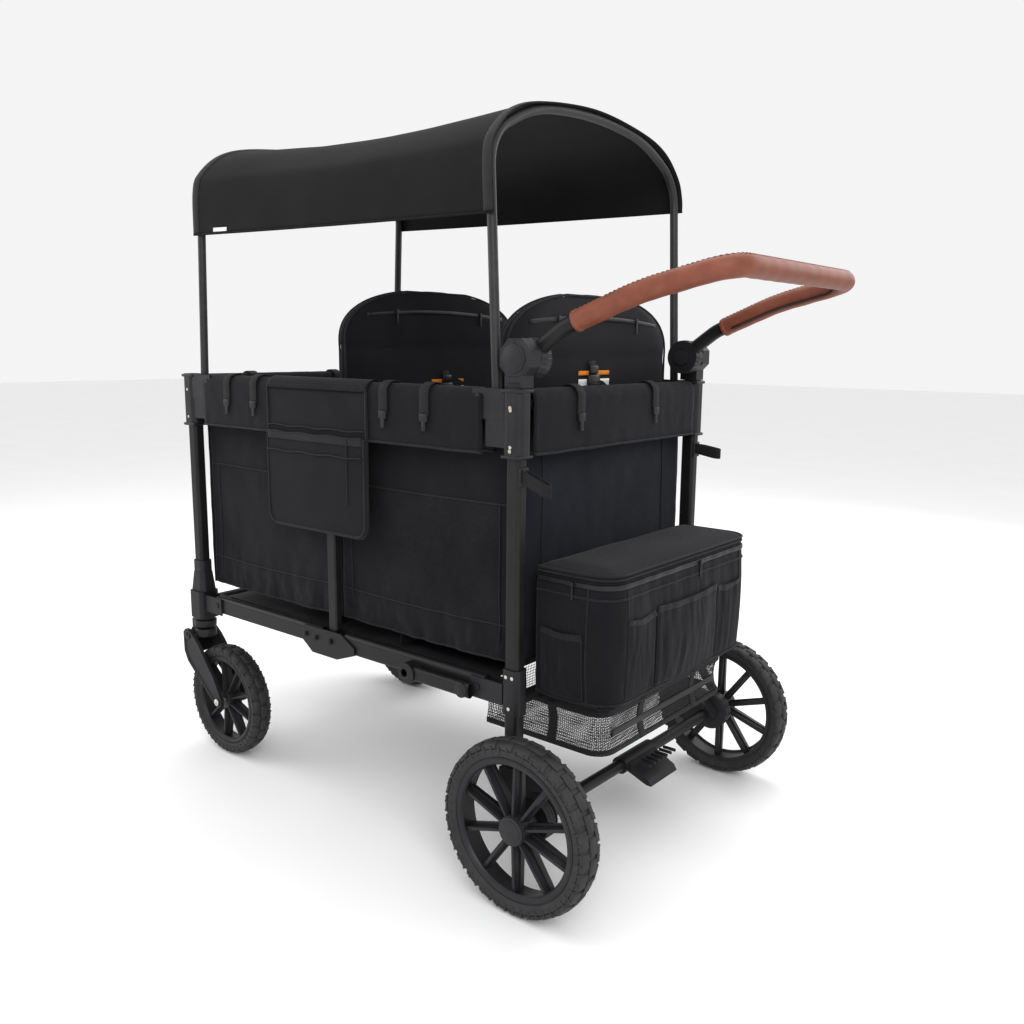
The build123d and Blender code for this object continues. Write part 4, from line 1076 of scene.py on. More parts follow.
def seatBase(name, node, body, anchorX):
    # Bench: a swollen cushion with two pads and a front skirt hanging from it.
    low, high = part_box(node)
    top = high.z - 0.001
    thick = 0.040
    half = high.y - 0.002

    def place(u, v, w):
        x = (low.x + high.x) / 2 + u * ((high.x - low.x) / 2 - 0.002)
        y = v * half
        edge = min((high.x - low.x) / 2 * (1 - abs(u)), half * (1 - abs(v)))
        swell = smoothStep(min(1, edge / 0.030)) ** 0.6
        dent = math.exp(-(y / 0.008) ** 2)
        t = thick / 2 * (0.55 + 0.45 * swell)
        z = top - thick / 2 + w * t - (0.006 * dent if w > 0 else 0)
        return (x, y, z + 0.001 * ripple(x, y, 14, w))

    bm = bmesh.new()
    padShape(bm, 30, place)
    piece = finishPiece(name, bm, "body", body, [node])

    def stitched(p):
        edge = min(p.x - low.x, high.x - p.x, half - abs(p.y))
        return 1.0 if edge < 0.014 or abs(p.y) < 0.006 or p.z < top - thick * 0.8 else 0.0

    puffUp(piece, stitched)
    shorten(piece)
    innerX = high.x if abs(high.x - anchorX) > abs(low.x - anchorX) else low.x
    turnIn = -1 if innerX == high.x else 1
    skirtBottom = low.z + 0.001

    def skirt(u, v):
        y = -half + 2 * half * u
        z = skirtBottom + (top - thick * 0.5 - skirtBottom) * v
        return (innerX + turnIn * (0.006 + 0.004 * math.sin(v * 3) + 0.003 * ripple(y, z, 12, 2)), y, z)

    shorten(sheetPiece(name + ".skirt", skirt, (60, 24), "body", body, tub["thick"]))
    # lap straps: two per place, with a buckle resting on the cushion
    for k, y in enumerate((-0.125, 0.125)):
        lift = top + 0.0135
        line = [Vector((anchorX + (innerX - anchorX) * t, y - 0.055 * math.cos(t * 2.2),
                        lift + 0.005 * math.sin(t * 6)))
                for t in [0.25 + 0.42 * i / 12 for i in range(13)]]
        other = [Vector((p.x, 2 * y - p.y, p.z)) for p in line]
        strap = strapPiece(f"{name}.belt.{k}", [line, other], 0.024, 0.0018, "webbing", body)
        shorten(strap)
        bm = bmesh.new()
        at = (line[-1] + other[-1]) / 2 + Vector((0, 0, 0.003))
        boxAt(bm, at, (0.020, 0.022, 0.006), (0.020, 0.022, 0.006), 0.005, 3)
        addDisc(bm, at + Vector((0, 0, 0.006)), straightUp, 0.009, 0.003, 24, 0.001)
        clip = finishPiece(f"{name}.clip.{k}", bm, "gloss", body)
        shorten(clip)


seatBase("rearSeatBase", "rear_seat_base", "rear_frame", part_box("rear_seat_base")[1].x)
seatBase("frontSeatBase", "front_seat_base", "front_frame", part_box("front_seat_base")[0].x)
print("wagon: seat bases made")


# pocket organizer
pocket = {"corner": 0.028, "thick": 0.0022, "stand": 0.0007}
pocketLow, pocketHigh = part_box("pocket_organizer")
pocketX0, pocketX1 = pocketLow.x, pocketHigh.x
pocketFace = pocketLow.y


def roundedOutline(x0, x1, z0, z1, corner, steps=8):
    # Points of a panel whose two lower corners are rounded.
    pts = [(x0, z1)]
    for k in range(steps + 1):
        a = math.pi + (math.pi / 2) * k / steps
        pts.append((x0 + corner + corner * math.cos(a), z0 + corner + corner * math.sin(a)))
    for k in range(steps + 1):
        a = 1.5 * math.pi + (math.pi / 2) * k / steps
        pts.append((x1 - corner + corner * math.cos(a), z0 + corner + corner * math.sin(a)))
    pts.append((x1, z1))
    return pts


def pocketPanel(name, x0, x1, z0, z1, y, puff, thick, material, stands=()):
    # A soft flat panel with rounded lower corners, swelling outwards by puff.
    def place(u, v):
        z = z0 + (z1 - z0) * v
        inset = 0.0
        if z < z0 + pocket["corner"]:
            d = (z0 + pocket["corner"] - z) / pocket["corner"]
            inset = pocket["corner"] * (1 - math.sqrt(max(0, 1 - d * d)))
        x = (x0 + inset) + (x1 - x0 - 2 * inset) * u
        swell = 0
        if 0 < u < 1 and v > 0:
            swell = puff * (math.sin(math.pi * u) * math.sin(math.pi * min(1, v * 0.96 + 0.02))) ** 0.6
        wave = 0.0012 * ripple(x, z, 16, y * 50)
        return (x, y - swell + wave, z)

    return sheetPiece(name, place, (50, 40), material, "middle", thick, stands)


mouthZ = pocketLow.z + 0.187
back = pocketPanel("pocketBack", pocketX0 + 0.002, pocketX1 - 0.002, pocketLow.z + 0.002, railZ - 0.004,
                   pocketFace + 0.0105, 0.001, pocket["thick"], "body", ["pocket_organizer"])
pocketPanel("pocketFront", pocketX0 + 0.004, pocketX1 - 0.004, pocketLow.z + 0.004, mouthZ,
            pocketFace + 0.0060, 0.0035, pocket["thick"], "body")


# the part that goes over the rail
def overRail(u, v):
    x = pocketX0 + 0.002 + (pocketX1 - pocketX0 - 0.004) * u
    half = roll["half"] + 0.0042
    if v > 0.8:
        return (x, -sideY + half, railZ - 0.040 * (v - 0.8) / 0.2)
    a = math.pi - math.pi * v / 0.8
    return (x, -sideY + half * math.cos(a) - (0.002 if v < 0.1 else 0),
            railZ + 0.0188 * math.sin(a) - 0.004 * (1 - v / 0.8))


sheetPiece("pocketFlap", overRail, (50, 30), "body", "middle", tub["thick"])
# binding round the edges, seams across, the pen slot and the bound mouth
edges = []
for inset, top, proud in ((0.0035, railZ + 0.002, 0.0088), (0.0055, mouthZ, 0.0046)):
    outline = roundedOutline(pocketX0 + inset, pocketX1 - inset, pocketLow.z + inset, top,
                             pocket["corner"] - 0.003)
    edges.append([Vector((x, pocketFace + proud, z)) for x, z in outline])
cordPiece("pocketBinding", edges, 0.0027, "piping", "middle", 8, up=(0, 1, 0))
lines = []
for z, y in ((mouthZ, pocketFace + 0.0036), (mouthZ - 0.036, pocketFace + 0.0022),
             (mouthZ + 0.012, pocketFace + 0.0080)):
    lines.append([Vector((pocketX0 + 0.006 + (pocketX1 - pocketX0 - 0.012) * k / 30,
                          y - 0.0018 * math.sin(math.pi * k / 30), z + 0.0012 * math.sin(k * 0.7)))
                  for k in range(31)])
lines.append([Vector((pocketX1 - 0.050, pocketFace + 0.0018, mouthZ - 0.004 - 0.120 * k / 12))
              for k in range(13)])
cordPiece("pocketSeams", lines, 0.0014, "piping", "middle", 6, up=(0, 1, 0))
sheetPiece("pocketMouth", lambda u, v: (pocketX0 + 0.006 + (pocketX1 - pocketX0 - 0.012) * u,
                                        pocketFace + 0.0040 - 0.0020 * math.sin(math.pi * u),
                                        mouthZ - 0.014 + 0.014 * v),
           (30, 3), "piping", "middle", pocket["thick"])
print("wagon: pocket made")


# storage bag, its lid and pockets
bag = {"corner": 0.045, "swell": 0.005, "thick": 0.002}
bagLow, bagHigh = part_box("storage_bag")
lidLow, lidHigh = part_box("bag_lid")


def wallPoint(x0, x1, half, r, t, z, out):
    # A point on a wall: t runs back from the near front edge, round both rear corners and forward
    # again; out moves the point outwards.
    quarter = math.pi / 2 * r
    runs = [x1 - r - x0, quarter, 2 * (half - r), quarter, x1 - r - x0]
    d, part = t * sum(runs), 0
    while part < 4 and d > runs[part]:
        d -= runs[part]
        part += 1
    if part == 0:
        return Vector((x0 + d, -half - out, z))
    if part == 2:
        return Vector((x1 + out, -half + r + d, z))
    if part == 4:
        return Vector((x1 - r - d, half + out, z))
    a, middle = (d / r - math.pi / 2, r - half) if part == 1 else (d / r, half - r)
    return Vector((x1 - r + (r + out) * math.cos(a), middle + (r + out) * math.sin(a), z))


def bagPoint(t, z, out=0.0):
    return wallPoint(bagLow.x, bagHigh.x, bagHigh.y, bag["corner"], t, z, out)


straightSide = bagHigh.x - bag["corner"] - bagLow.x
bagTotal = 2 * straightSide + math.pi * bag["corner"] + 2 * (bagHigh.y - bag["corner"])
bagSide = straightSide / bagTotal
bagCorner = math.pi / 2 * bag["corner"] / bagTotal


def bagOut(t, z):
    v = (z - bagLow.z) / (bagHigh.z - bagLow.z)
    swell = math.sin(math.pi * min(1, max(0, v))) * (0.35 + 0.65 * abs(math.sin(math.pi * t * 3)))
    creases = 0.0018 * ripple(t * 3, z, 9, 21) + 0.0008 * ripple(t * 3, z, 30, 4)
    return -0.0035 + bag["swell"] * swell + creases


def bagShell(u, v):
    tall = bagHigh.z - bagLow.z
    return bagPoint(u, bagLow.z + 0.002 + (tall - 0.002) * v, bagOut(u, bagLow.z + tall * v))


shell = sheetPiece("storageBag", bagShell, (160, 50), "body", "rear_frame", bag["thick"], ["storage_bag"])
bm = bmesh.new()
addBox(bm, (bagLow.x + 0.001, -bagHigh.y + 0.006, bagLow.z + 0.001),
       (bagHigh.x - 0.006, bagHigh.y - 0.006, bagLow.z + 0.005), 0.0015)
addBox(bm, (bagLow.x + 0.0005, -bagHigh.y + 0.004, bagLow.z + 0.002),
       (bagLow.x + 0.003, bagHigh.y - 0.004, bagHigh.z - 0.001), 0.001)
finishPiece("bagFloor", bm, "body", "rear_frame")


def bagPatch(name, tLow, tHigh, zLow, zHigh, stand, puff, material, mouthSag=0.0):
    # A pocket sewn on the bag: its own sheet standing off the wall, with a bound mouth.
    def place(u, v):
        t = tLow + (tHigh - tLow) * u
        sag = mouthSag * math.sin(math.pi * u) * v
        z = zLow + (zHigh - zLow) * v - sag
        lift = 0
        if 0 < u < 1:
            lift = puff * math.sin(math.pi * u) ** 0.7
            lift *= 0.4 + 0.6 * math.sin(math.pi * min(1, v * 0.85 + 0.1))
        return bagPoint(t, z, bagOut(t, z) + stand + lift + 0.0012 * ripple(t * 4, z, 14, 31))

    sheetPiece(name, place, (60, 34), material, "rear_frame", 0.0016)
    rim = [Vector(place(k / 50, 1.0)) for k in range(51)]
    strapPiece(name + ".binding", [rim], 0.011, 0.0030, "piping", "rear_frame",
               up=tuple((rim[25] - Vector((bagLow.x + 0.04, 0, rim[25].z))).normalized()))
    sides = [[Vector(place(u, v / 20)) for v in range(21)] for u in (0.0, 1.0)]
    cordPiece(name + ".edges", sides, 0.0014, "piping", "rear_frame", 6,
              up=(1, 0, 0.01) if abs(rim[25].y) > 0.2 else (0, 1, 0.01))
    return piece


rearStart = bagSide + bagCorner
rearRun = 1 - 2 * rearStart
# name, start and end round the bag, height, stand, puff, material and the sag of its mouth
for name, tLow, tHigh, tall, stand, puff, material, sag in (
        ("bottlePocket.near", 0.018, bagSide - 0.012, 0.118, 0.003, 0.007, "body", 0.004),
        ("bottlePocket.far", 1 - bagSide + 0.012, 1 - 0.018, 0.118, 0.003, 0.007, "body", 0.004),
        ("meshPocket.near", rearStart, rearStart + rearRun * 0.22, 0.142, 0.002, 0.005, "panelMesh", 0.005),
        ("meshPocket.far", rearStart + rearRun * 0.78, rearStart + rearRun, 0.142, 0.002, 0.005, "panelMesh",
         0.005),
        ("bagPocket", rearStart + rearRun * 0.235, rearStart + rearRun * 0.765, 0.146, 0.003, 0.006, "body",
         0.003)):
    bagPatch(name, tLow, tHigh, bagLow.z + 0.012, bagLow.z + tall, stand, puff, material, sag)


def bagLine(z, out, count=150, low=0.0, high=1.0):
    return [bagPoint(low + (high - low) * k / count, z, bagOut(low + (high - low) * k / count, z) + out)
            for k in range(count + 1)]


# piping at the foot and top, corner bindings, and the zip under the lid
cordPiece("bagPiping", [bagLine(bagLow.z + 0.008, 0.0015), bagLine(bagHigh.z - 0.030, 0.0012)],
          0.0021, "piping", "rear_frame")
corners = []
for t in (bagSide - 0.002, rearStart + 0.001, 1 - rearStart - 0.001, 1 - bagSide + 0.002):
    corners.append([bagPoint(t, bagLow.z + 0.010 + (bagHigh.z - bagLow.z - 0.014) * k / 24,
                             bagOut(t, bagLow.z + 0.01 + 0.195 * k / 24) + 0.0012) for k in range(25)])
cordPiece("bagCorners", corners, 0.0017, "piping", "rear_frame", 6, up=(1, 0, 0))


def outwardStrap(name, line, width, thick, material):
    # A band that lies flat on the bag's wall, so its width runs upwards.
    bm = bmesh.new()
    addSection(bm, line, uprightSection(width, thick))
    return finishPiece(name, bm, material, "rear_frame")


outwardStrap("bagZip", bagLine(bagHigh.z - 0.010, 0.0022), 0.0085, 0.0026, "zip")
bm = bmesh.new()
for t in (0.10, 0.55):
    at = bagPoint(t, bagHigh.z - 0.010, bagOut(t, bagHigh.z - 0.010) + 0.005)
    boxAt(bm, at, (0.0035, 0.0035, 0.004), (0.0035, 0.0035, 0.004), 0.0012)
    boxAt(bm, at, (0.0018, 0.0018, 0.026), (0.0018, 0.0018, -0.003), 0.0009)
finishPiece("bagZipPulls", bm, "zip", "rear_frame")


def lidShape(u, v, w):
    # Padded lid: rounded rear corners, a soft crown, thinner at the sewn edge.
    x0, x1, half, r = lidLow.x, lidHigh.x, lidHigh.y, bag["corner"]
    x = (x0 + x1) / 2 + u * (x1 - x0) / 2
    wide = half
    if x > x1 - r:
        d = (x - (x1 - r)) / r
        wide = half - r + r * math.sqrt(max(0.0, 1 - d * d))
    y = v * wide
    edge = min(x1 - x, x - x0 + 0.01, wide - abs(y))
    swell = smoothStep(min(1, edge / 0.045)) ** 0.7
    thick = (lidHigh.z - lidLow.z)
    z = lidLow.z + 0.0010 + (thick * (0.52 + 0.48 * swell) - 0.001) * (w + 1) / 2
    tilt = -0.0012 * (x - x0) / (x1 - x0)
    return (x, y, z + tilt + (0.0012 * ripple(x, y, 9, 12) if w > 0 else 0))


bm = bmesh.new()
padShape(bm, 26, lidShape)
lidPiece = finishPiece("bagLid", bm, "body", "lid", ["bag_lid"])
puffUp(lidPiece, lambda p: 1.0 if min(lidHigh.x - p.x, p.x - lidLow.x, lidHigh.y - abs(p.y)) < 0.020
       or p.z < lidLow.z + 0.006 else 0.55)


def lidEdge(inset, z, steps=26):
    x0, x1, half, r = lidLow.x, lidHigh.x, lidHigh.y, bag["corner"]
    pts = [Vector((x0 + 0.004, -half + inset, z)), Vector((x1 - r, -half + inset, z))]
    for k in range(1, steps):
        a = -math.pi / 2 + math.pi / 2 * k / steps
        pts.append(Vector((x1 - r + (r - inset) * math.cos(a), -half + r + (r - inset) * math.sin(a), z)))
    pts.append(Vector((x1 - inset, 0, z)))
    mirrored = [Vector((p.x, -p.y, p.z)) for p in reversed(pts[:-1])]
    return pts + mirrored


cordPiece("lidPiping", [lidEdge(0.0012, lidLow.z + 0.009), lidEdge(0.0018, lidLow.z + 0.0022)],
          0.0022, "piping", "lid")
print("wagon: bag made")


# mesh basket
basket = {"wire": 0.0011, "corner": 0.035, "sink": 0.008}
basketLow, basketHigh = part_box("mesh_basket")


def netWall(name, across, along, place):
    # Open netting: a grid turned to struts, so the holes are real.
    bm = bmesh.new()
    gridSheet(bm, across, along, place)
    piece = finishPiece(name, bm, "netting", "rear_frame", outward=False)
    mod = piece.modifiers.new("netting", "WIREFRAME")
    mod.thickness = basket["wire"]
    mod.use_boundary = True
    applyAll(piece)
    return piece


bx0, bx1, bHalf = basketLow.x, basketHigh.x, basketHigh.y
bz0, bz1 = basketLow.z, basketHigh.z


def basketWall(u, v):
    return wallPoint(bx0 + 0.002, bx1 - 0.002, bHalf - 0.002, basket["corner"], u,
                     bz0 + 0.003 + (bz1 - bz0 - 0.004) * v, -basket["sink"] * math.sin(math.pi * v))


netting = netWall("basketWall", 210, 15, basketWall)
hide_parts("mesh_basket")
netWall("basketBack", 90, 15, lambda u, v: (bx0 + 0.002 + 0.004 * math.sin(math.pi * v),
                                            -bHalf + 0.002 + 2 * (bHalf - 0.002) * u,
                                            bz0 + 0.003 + (bz1 - bz0 - 0.004) * v))
netWall("basketFloor", 46, 84, lambda u, v: (bx0 + 0.004 + (bx1 - bx0 - 0.010) * u,
                                             -bHalf + 0.006 + 2 * (bHalf - 0.006) * v,
                                             bz0 + 0.0035 + 0.002 * ripple(u * 3, v * 3, 2, 3)))
rims = []
for v in (0.02, 0.98):
    rims.append([basketWall(k / 120, v) for k in range(121)])
bm = bmesh.new()
for line, width in zip(rims, (0.010, 0.016)):
    addSection(bm, line, uprightSection(width, 0.0028))
finishPiece("basketBinding", bm, "webbing", "rear_frame")
straps = []
for u in (0.16, 0.40, 0.60, 0.84):
    proud = (basketWall(u, 0.0) - Vector((bx0 + 0.05, 0, bz0))).normalized() * 0.0016
    straps.append([basketWall(u, v / 8) + proud for v in range(9)])
bm = bmesh.new()
for line in straps:
    outward = (1, 0, 0) if abs(line[0].y) < bHalf * 0.9 else (0, math.copysign(1, line[0].y), 0)
    addSection(bm, line, flatSection(0.018, 0.0022), outward)
finishPiece("basketStraps", bm, "webbing", "rear_frame")
bm = bmesh.new()
addSection(bm, [basketWall(0.30 + 0.40 * k / 60, 0.42) + Vector((0.0022, 0, 0)) for k in range(61)],
           uprightSection(0.013, 0.0030))
finishPiece("basketZip", bm, "zip", "rear_frame")
print("wagon: basket made")


# handle: stitched leather over the tube
grip = {"radius": 0.0168, "bore": 0.0134, "stitch": 0.0052, "gap": 0.0026, "corner": 0.046}
armY = sideY - 0.033
kneePoint = Vector((rearX + 0.066, armY - 0.002, handleZ + 0.050))
swayPoint = Vector((rearX + 0.190, armY - 0.012, handleZ + 0.099))
cornerPoint = Vector((rearX + 0.331, 0.2225, handleZ + 0.133))


def filletPath(points, radii, steps=14):
    # A run of straight lines whose corners are arcs of the given radii.
    pts = [Vector(p) for p in points]
    line = [pts[0]]
    for i in range(1, len(pts) - 1):
        before, at, after = pts[i - 1], pts[i], pts[i + 1]
        a, b = (before - at).normalized(), (after - at).normalized()
        half = a.angle(b) / 2
        reach = radii[i - 1] / math.tan(half)
        centre = at + (a + b).normalized() * (radii[i - 1] / math.sin(half))
        first, last = at + a * reach - centre, at + b * reach - centre
        for k in range(steps + 1):
            line.append(centre + first.slerp(last, k / steps).normalized() * radii[i - 1])
    line.append(pts[-1])
    return line


def evenly(line, step):
    # Points a fixed distance apart along a line, each with its direction.
    out = []
    carried = 0.0
    for a, b in zip(line, line[1:]):
        length = (b - a).length
        while carried <= length:
            out.append((a.lerp(b, carried / max(length, 1e-9)), (b - a).normalized()))
            carried += step
        carried -= length
    return out


def flip(p):
    return Vector((p.x, -p.y, p.z))


gripPoint = kneePoint.lerp(swayPoint, 0.14)
nearHalf = [flip(p) for p in (gripPoint, swayPoint, cornerPoint)]
gripLine = filletPath([*nearHalf, *[flip(p) for p in reversed(nearHalf)]],
                      [0.5, grip["corner"], grip["corner"], 0.5], 22)
evenGrip = [p for p, _ in evenly(gripLine, 0.006)] + [gripLine[-1]]
crossUp = (0.28, 0, 1)


def tubeAlong(name, line, radiusAt, sides, material, body, stands, up):
    # A capped tube along a line, bridged ring by ring.
    bm = bmesh.new()
    last = None
    for i, p in enumerate(line):
        ahead, behind = line[min(i + 1, len(line) - 1)], line[max(i - 1, 0)]
        along = (ahead - behind).normalized()
        side = along.cross(Vector(up)).normalized()
        lift = side.cross(along).normalized()
        made = bmesh.ops.create_circle(bm, segments=sides, radius=radiusAt(i))["verts"]
        turn = Matrix((side, lift, -along)).transposed().to_4x4()
        turn.translation = p
        bmesh.ops.transform(bm, matrix=turn, verts=made)
        ring = edgesOf(made)
        if last:
            bmesh.ops.bridge_loops(bm, edges=last + ring)
        else:
            first = ring
        last = ring
    bmesh.ops.edgenet_fill(bm, edges=first)
    bmesh.ops.edgenet_fill(bm, edges=last)
    return finishPiece(name, bm, material, body, stands)


def gripRadius(i):
    ends = min(i, len(evenGrip) - 1 - i)
    swell = 0.0002 * math.sin(i * 0.9) + 0.0004 * noise.noise(Vector((i * 0.13, 4, 0)))
    return grip["radius"] * (0.93 + 0.07 * smoothStep(ends / 3)) + swell


tubeAlong("handleGrip", evenGrip, gripRadius, 40, "leather", "handle", ["handle_grip"], crossUp)
# ends of the leather turned under in a band
bm = bmesh.new()
for p, towards in ((evenGrip[0], evenGrip[2]), (evenGrip[-1], evenGrip[-3])):
    along = (towards - p).normalized()
    addDisc(bm, p + along * 0.004, along, grip["radius"] + 0.0004, 0.008, 40, 0.0012)
finishPiece("gripEnds", bm, "leather", "handle")


def gripFrame(p, along, up=crossUp):
    side = along.cross(Vector(up)).normalized()
    return side, side.cross(along).normalized()


# two rows of stitches and the butt seam between them, on the outer top of the grip
bm = bmesh.new()
seamLine = []
for p, along in evenly(gripLine, grip["stitch"] + grip["gap"]):
    side, lift = gripFrame(p, along)
    for lean in (-0.17, 0.17):
        a = math.pi / 2 + 0.05 + lean
        out = side * math.cos(a) + lift * math.sin(a)
        at = p + out * (grip["radius"] + 0.0003)
        made = bmesh.ops.create_uvsphere(bm, u_segments=6, v_segments=5, radius=1)["verts"]
        frameM = Matrix((along, side, lift)).transposed().to_4x4()
        frameM.translation = at
        size = Matrix.Diagonal((grip["stitch"] / 2, 0.0007, 0.0007, 1))
        bmesh.ops.transform(bm, matrix=frameM @ size, verts=made)
    out = side * math.cos(math.pi / 2 + 0.05) + lift * math.sin(math.pi / 2 + 0.05)
    seamLine.append(p + out * (grip["radius"] - 0.00035))
finishPiece("gripStitches", bm, "thread", "handle")
cordPiece("gripSeam", [seamLine], 0.0009, "leather", "handle", 6)
# zip strip under the arms and the cross bar
zipLine = []
for p, along in evenly(gripLine, 0.006)[3:-3]:
    side, lift = gripFrame(p, along)
    a = -0.75
    out = (-side * math.cos(a) + lift * math.sin(a)).normalized()
    zipLine.append((p + out * (grip["radius"] - 0.0004), out))
bm = bmesh.new()
teeth = bmesh.new()
points = [p for p, _ in zipLine]
addSection(bm, points, flatSection(0.0105, 0.0022), (0.9, 0, -0.45))
finishPiece("gripZip", bm, "zip", "handle")
for p, along in evenly(points, 0.0042):
    side, lift = gripFrame(p, along)
    out = min(zipLine, key=lambda q: (q[0] - p).length)[1]
    made = bmesh.ops.create_cube(teeth, size=1)["verts"]
    across = along.cross(out).normalized()
    frameM = Matrix((along, across, out)).transposed().to_4x4()
    frameM.translation = p + out * 0.0011
    bmesh.ops.transform(teeth, matrix=frameM @ Matrix.Diagonal((0.0021, 0.0042, 0.0012, 1)), verts=made)
finishPiece("gripZipTeeth", teeth, "gloss", "handle", smooth=False)
print("wagon: grip made")


# hubs, collars and other small fittings
hub = {"cap": 0.024, "rib": 0.0312, "screws": 0.0245}
bm = bmesh.new()
inner = bmesh.new()
for sign in (-1, 1):
    yOut = sign * (sideY + 0.011)
    addDisc(bm, (rearX, yOut + sign * 0.0004, handleZ), acrossWagon, hub["cap"], 0.0024, 8, 0.0008)
    addDisc(bm, (rearX, yOut + sign * 0.0017, handleZ), acrossWagon, hub["cap"] - 0.006, 0.0012, 40, 0.0005)
    for k in range(3):
        a = math.radians(90 + 120 * k)
        at = (rearX + hub["screws"] * math.cos(a), yOut - sign * 0.001, handleZ + hub["screws"] * math.sin(a))
        addDisc(bm, at, acrossWagon, 0.0026, 0.003, 16, 0.0006)
    yIn = sign * (sideY - 0.047)
    for k in range(24):
        a = 2 * math.pi * k / 24
        at = (rearX + hub["rib"] * math.cos(a), yIn + sign * 0.0125, handleZ + hub["rib"] * math.sin(a))
        addDisc(inner, at, acrossWagon, 0.0014, 0.020, 8)
finishPiece("hubCaps", bm, "plastic", "rear_frame")
finishPiece("hubRibs", inner, "plastic", "handle")

for endX, inward, body in ((rearX, -1, "rear_frame"), (frontX, 1, "front_frame")):
    bm, steel = bmesh.new(), bmesh.new()
    for sign in (-1, 1):
        yFace = sign * (sideY + 0.0172)
        for z in (railZ - 0.078, railZ - 0.020):
            addDisc(steel, (endX, yFace, z), acrossWagon, 0.0030, 0.0016, 16, 0.0005)
        # raised bands on the collar and the ring that clips the canopy pole
        for z in (railZ - 0.094, railZ + 0.010):
            boxAt(bm, Vector((endX, sign * sideY, z)), (0.0200, 0.0180, 0.003), (0.0200, 0.0180, 0.003),
                  0.0026, 3)
        poleX, y = endX + inward * 0.042, sign * sideY
        addDisc(bm, (poleX + inward * 0.0004, y, railZ - 0.0185), straightUp, 0.0118, 0.007, 32, 0.0012)
        addDisc(bm, (poleX + inward * 0.0009, y, railZ - 0.0110), straightUp, 0.0104, 0.008, 32, 0.0010)
    finishPiece("collarBands." + body, bm, "plastic", body)
    finishPiece("collarRivets." + body, steel, "steel", body)

# hinge bolts on the middle plates and the brace tube's boss
plate = {"bolts": 0.2976, "discs": 0.3095, "discsZ": 0.326}
for x, z in ((-0.230, lowRailZ), (-0.200, lowRailZ - 0.002), (midX, lowRailZ - 0.002)):
    bm = bmesh.new()
    for sign in (-1, 1):
        addDisc(bm, (x, sign * plate["bolts"], z), acrossWagon, 0.0052, 0.003, 24, 0.001)
        addDisc(bm, (x, sign * (plate["bolts"] + 0.0014), z), acrossWagon, 0.0028, 0.0016, 6)
    finishPiece(f"hingeBolts.{int(-x * 1000)}", bm, "paint", "low_front")
bm = bmesh.new()
for sign in (-1, 1):
    for x in (0.066, 0.200):
        addDisc(bm, (x, sign * plate["discs"], plate["discsZ"]), acrossWagon, 0.0135, 0.0052, 36, 0.0015)
        addDisc(bm, (x, sign * (plate["discs"] + 0.0025), plate["discsZ"]), acrossWagon,
                0.0078, 0.0018, 28, 0.0006)
finishPiece("braceDiscs", bm, "plastic", "low_rear")

# ribs on the pedal and the rings of the brake drums
pedalLow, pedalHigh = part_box("brake_pedal")
bm = bmesh.new()
for k in range(7):
    y = pedalLow.y + 0.008 + (pedalHigh.y - pedalLow.y - 0.016) * k / 6
    addBox(bm, (pedalHigh.x - 0.030, y - 0.0017, pedalHigh.z - 0.0045),
           (pedalHigh.x - 0.003, y + 0.0017, pedalHigh.z + 0.0012), 0.0009, 1)
finishPiece("pedalRibs", bm, "plastic", "brake")
drumLow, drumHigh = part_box("brake_housings")
bm = bmesh.new()
drumX, drumZ = (drumLow.x + drumHigh.x) / 2, (drumLow.z + drumHigh.z) / 2
for sign in (-1, 1):
    for k in range(3):
        addDisc(bm, (drumX, sign * (drumHigh.y - 0.008 - 0.008 * k), drumZ), acrossWagon,
                0.0376, 0.0022, 48, 0.0006)
finishPiece("drumRings", bm, "plastic", "rear_frame")


# wrist straps
wristLow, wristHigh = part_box("wrist_straps")
wrist = {"wide": 0.020, "thick": 0.0022}
loops = []
for sign, droop in ((-1, 0.018), (1, 0.004)):
    y = sign * sideY
    x0, x1 = wristLow.x - 0.0005, wristHigh.x - 0.002
    z = (wristLow.z + wristHigh.z) / 2
    shape = [(x0, y - 0.0060, z + 0.004), (x0 + 0.016, y - 0.0075, z + 0.003 - droop * 0.3),
             (x1 - 0.010, y - 0.0060, z - droop * 0.8), (x1, y, z - droop),
             (x1 - 0.010, y + 0.0060, z - droop * 0.8),
             (x0 + 0.016, y + 0.0075, z + 0.002 - droop * 0.3), (x0, y + 0.0060, z + 0.002)]
    loops.append(smoothCurve(shape, 8))
bm = bmesh.new()
for line in loops:
    addSection(bm, line, uprightSection(wrist["wide"], wrist["thick"]))
finishPiece("wristStraps", bm, "webbing", "rear_frame", ["wrist_straps"])
bm = bmesh.new()
wristZ = (wristLow.z + wristHigh.z) / 2
for sign in (-1, 1):
    addBox(bm, (rearX + 0.0125, sign * sideY - 0.0112, wristZ - 0.014),
           (rearX + 0.0165, sign * sideY + 0.0112, wristZ + 0.016), 0.0015)
    addDisc(bm, (rearX + 0.0172, sign * sideY, wristZ + 0.002), (1, 0, 0), 0.0055, 0.002, 24, 0.0007)
finishPiece("wristAnchors", bm, "plastic", "rear_frame")
print("wagon: fittings made")


# finishes for the pieces that stay as they are
slotLooks = {"frame_paint": "paint", "bright_steel": "steel", "body_fabric": "body",
             "canopy_fabric": "canopy", "mesh": "netting", "webbing": "webbing", "button_plastic": "gloss",
             "tyre_rubber": "rubber", "wheel_plastic": "wheel", "leather": "leather"}
slotOf = {entry["node"]: entry.get("material_slot") for entry in frame["record"]["subparts"]}
paintedPoles = ("rear_hoop", "front_hoop")
for name, shape in frame["nodes"].items():
    look = "pole" if name in paintedPoles else slotLooks.get(slotOf.get(name, ""), "plastic")
    shape.data.materials.clear()
    shape.data.materials.append(mats[look])


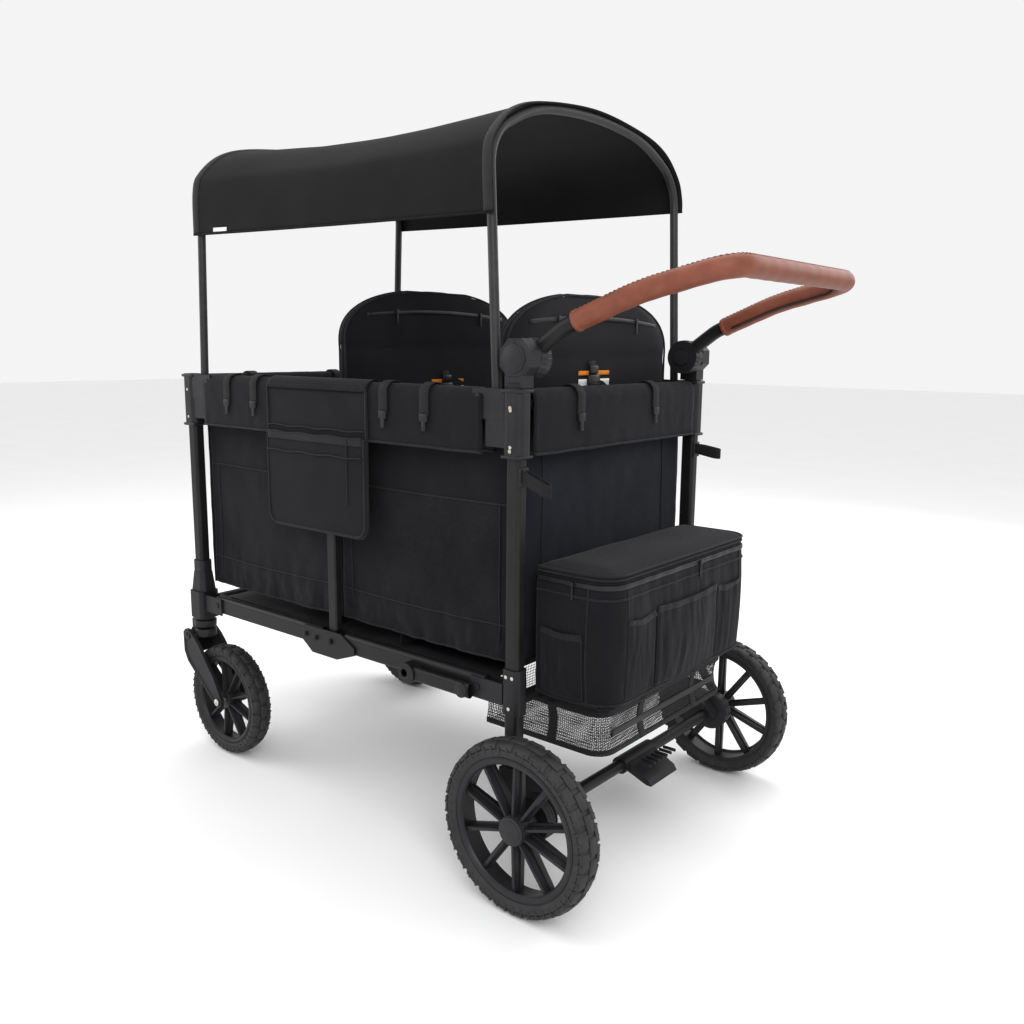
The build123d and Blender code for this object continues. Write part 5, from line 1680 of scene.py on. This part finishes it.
# camera, light and floor
camera = {"place": (1.2335, -1.4407, 0.9046), "heading": 39.26, "pitch": 10.04, "roll": 0.52, "lens": 33.27}
turn, tip, tilt = (math.radians(camera[k]) for k in ("heading", "pitch", "roll"))
forward = Vector((-math.sin(turn) * math.cos(tip), math.cos(turn) * math.cos(tip), -math.sin(tip)))
right = Vector((math.cos(turn), math.sin(turn), 0))
upward = right.cross(forward)
across = right * math.cos(tilt) + upward * math.sin(tilt)
upright = -right * math.sin(tilt) + upward * math.cos(tilt)
lensData = bpy.data.cameras.new("camera")
lensData.lens = camera["lens"]
lensData.sensor_width = 36
lensData.clip_start = 0.05
cameraObject = bpy.data.objects.new("camera", lensData)
scene.collection.objects.link(cameraObject)
pose = Matrix((across, upright, -forward)).transposed().to_4x4()
pose.translation = Vector(camera["place"])
cameraObject.matrix_world = pose
scene.camera = cameraObject

light = {"key": 62, "fill": 30, "top": 40, "world": 0.92}


def areaLight(name, place, aim, power, size, colour=(1, 1, 1)):
    lamp = bpy.data.lights.new(name, "AREA")
    lamp.energy = power
    lamp.shape = "RECTANGLE"
    lamp.size, lamp.size_y = size
    lamp.color = colour
    holder = bpy.data.objects.new(name, lamp)
    scene.collection.objects.link(holder)
    holder.location = place
    holder.rotation_euler = (Vector(aim) - Vector(place)).to_track_quat("-Z", "Y").to_euler()
    return holder


areaLight("key", (2.6, -2.4, 2.6), (0, 0, 0.6), light["key"], (2.0, 2.0))
areaLight("fill", (-2.8, -1.6, 1.9), (0, 0, 0.6), light["fill"], (2.4, 2.0))
areaLight("top", (-0.2, 0.6, 3.2), (0, 0, 0.4), light["top"], (2.6, 2.6))
areaLight("rim", (0.8, 3.2, 2.0), (0, 0, 0.8), light["fill"], (2.4, 1.6))

world = bpy.data.worlds.new("studio")
world.use_nodes = True
world.node_tree.nodes["Background"].inputs["Color"].default_value = (1, 1, 1, 1)
world.node_tree.nodes["Background"].inputs["Strength"].default_value = light["world"]
scene.world = world

floorMat, floorTree, floorShader = newMaterial("studio floor", (0.9, 0.9, 0.9), 0.8, 0.1)
floorShade = noiseField(floorTree, objectCoords(floorTree), 3, 2)
floorTree.links.new(ramp(floorTree, floorShade, 0, 1, (0.9, 0.9, 0.9), (0.94, 0.94, 0.94)),
                    floorShader.inputs["Base Color"])
floorMesh = bpy.data.meshes.new("studioFloor")
bm = bmesh.new()
bmesh.ops.create_grid(bm, x_segments=1, y_segments=1, size=20)
bm.to_mesh(floorMesh)
bm.free()
floorMesh.materials.append(floorMat)
studioFloor = bpy.data.objects.new("studioFloor", floorMesh)
scene.collection.objects.link(studioFloor)

scene.view_settings.view_transform = "Standard"
scene.view_settings.look = "None"
scene.view_settings.gamma = 0.86

print("wagon: all pieces made")
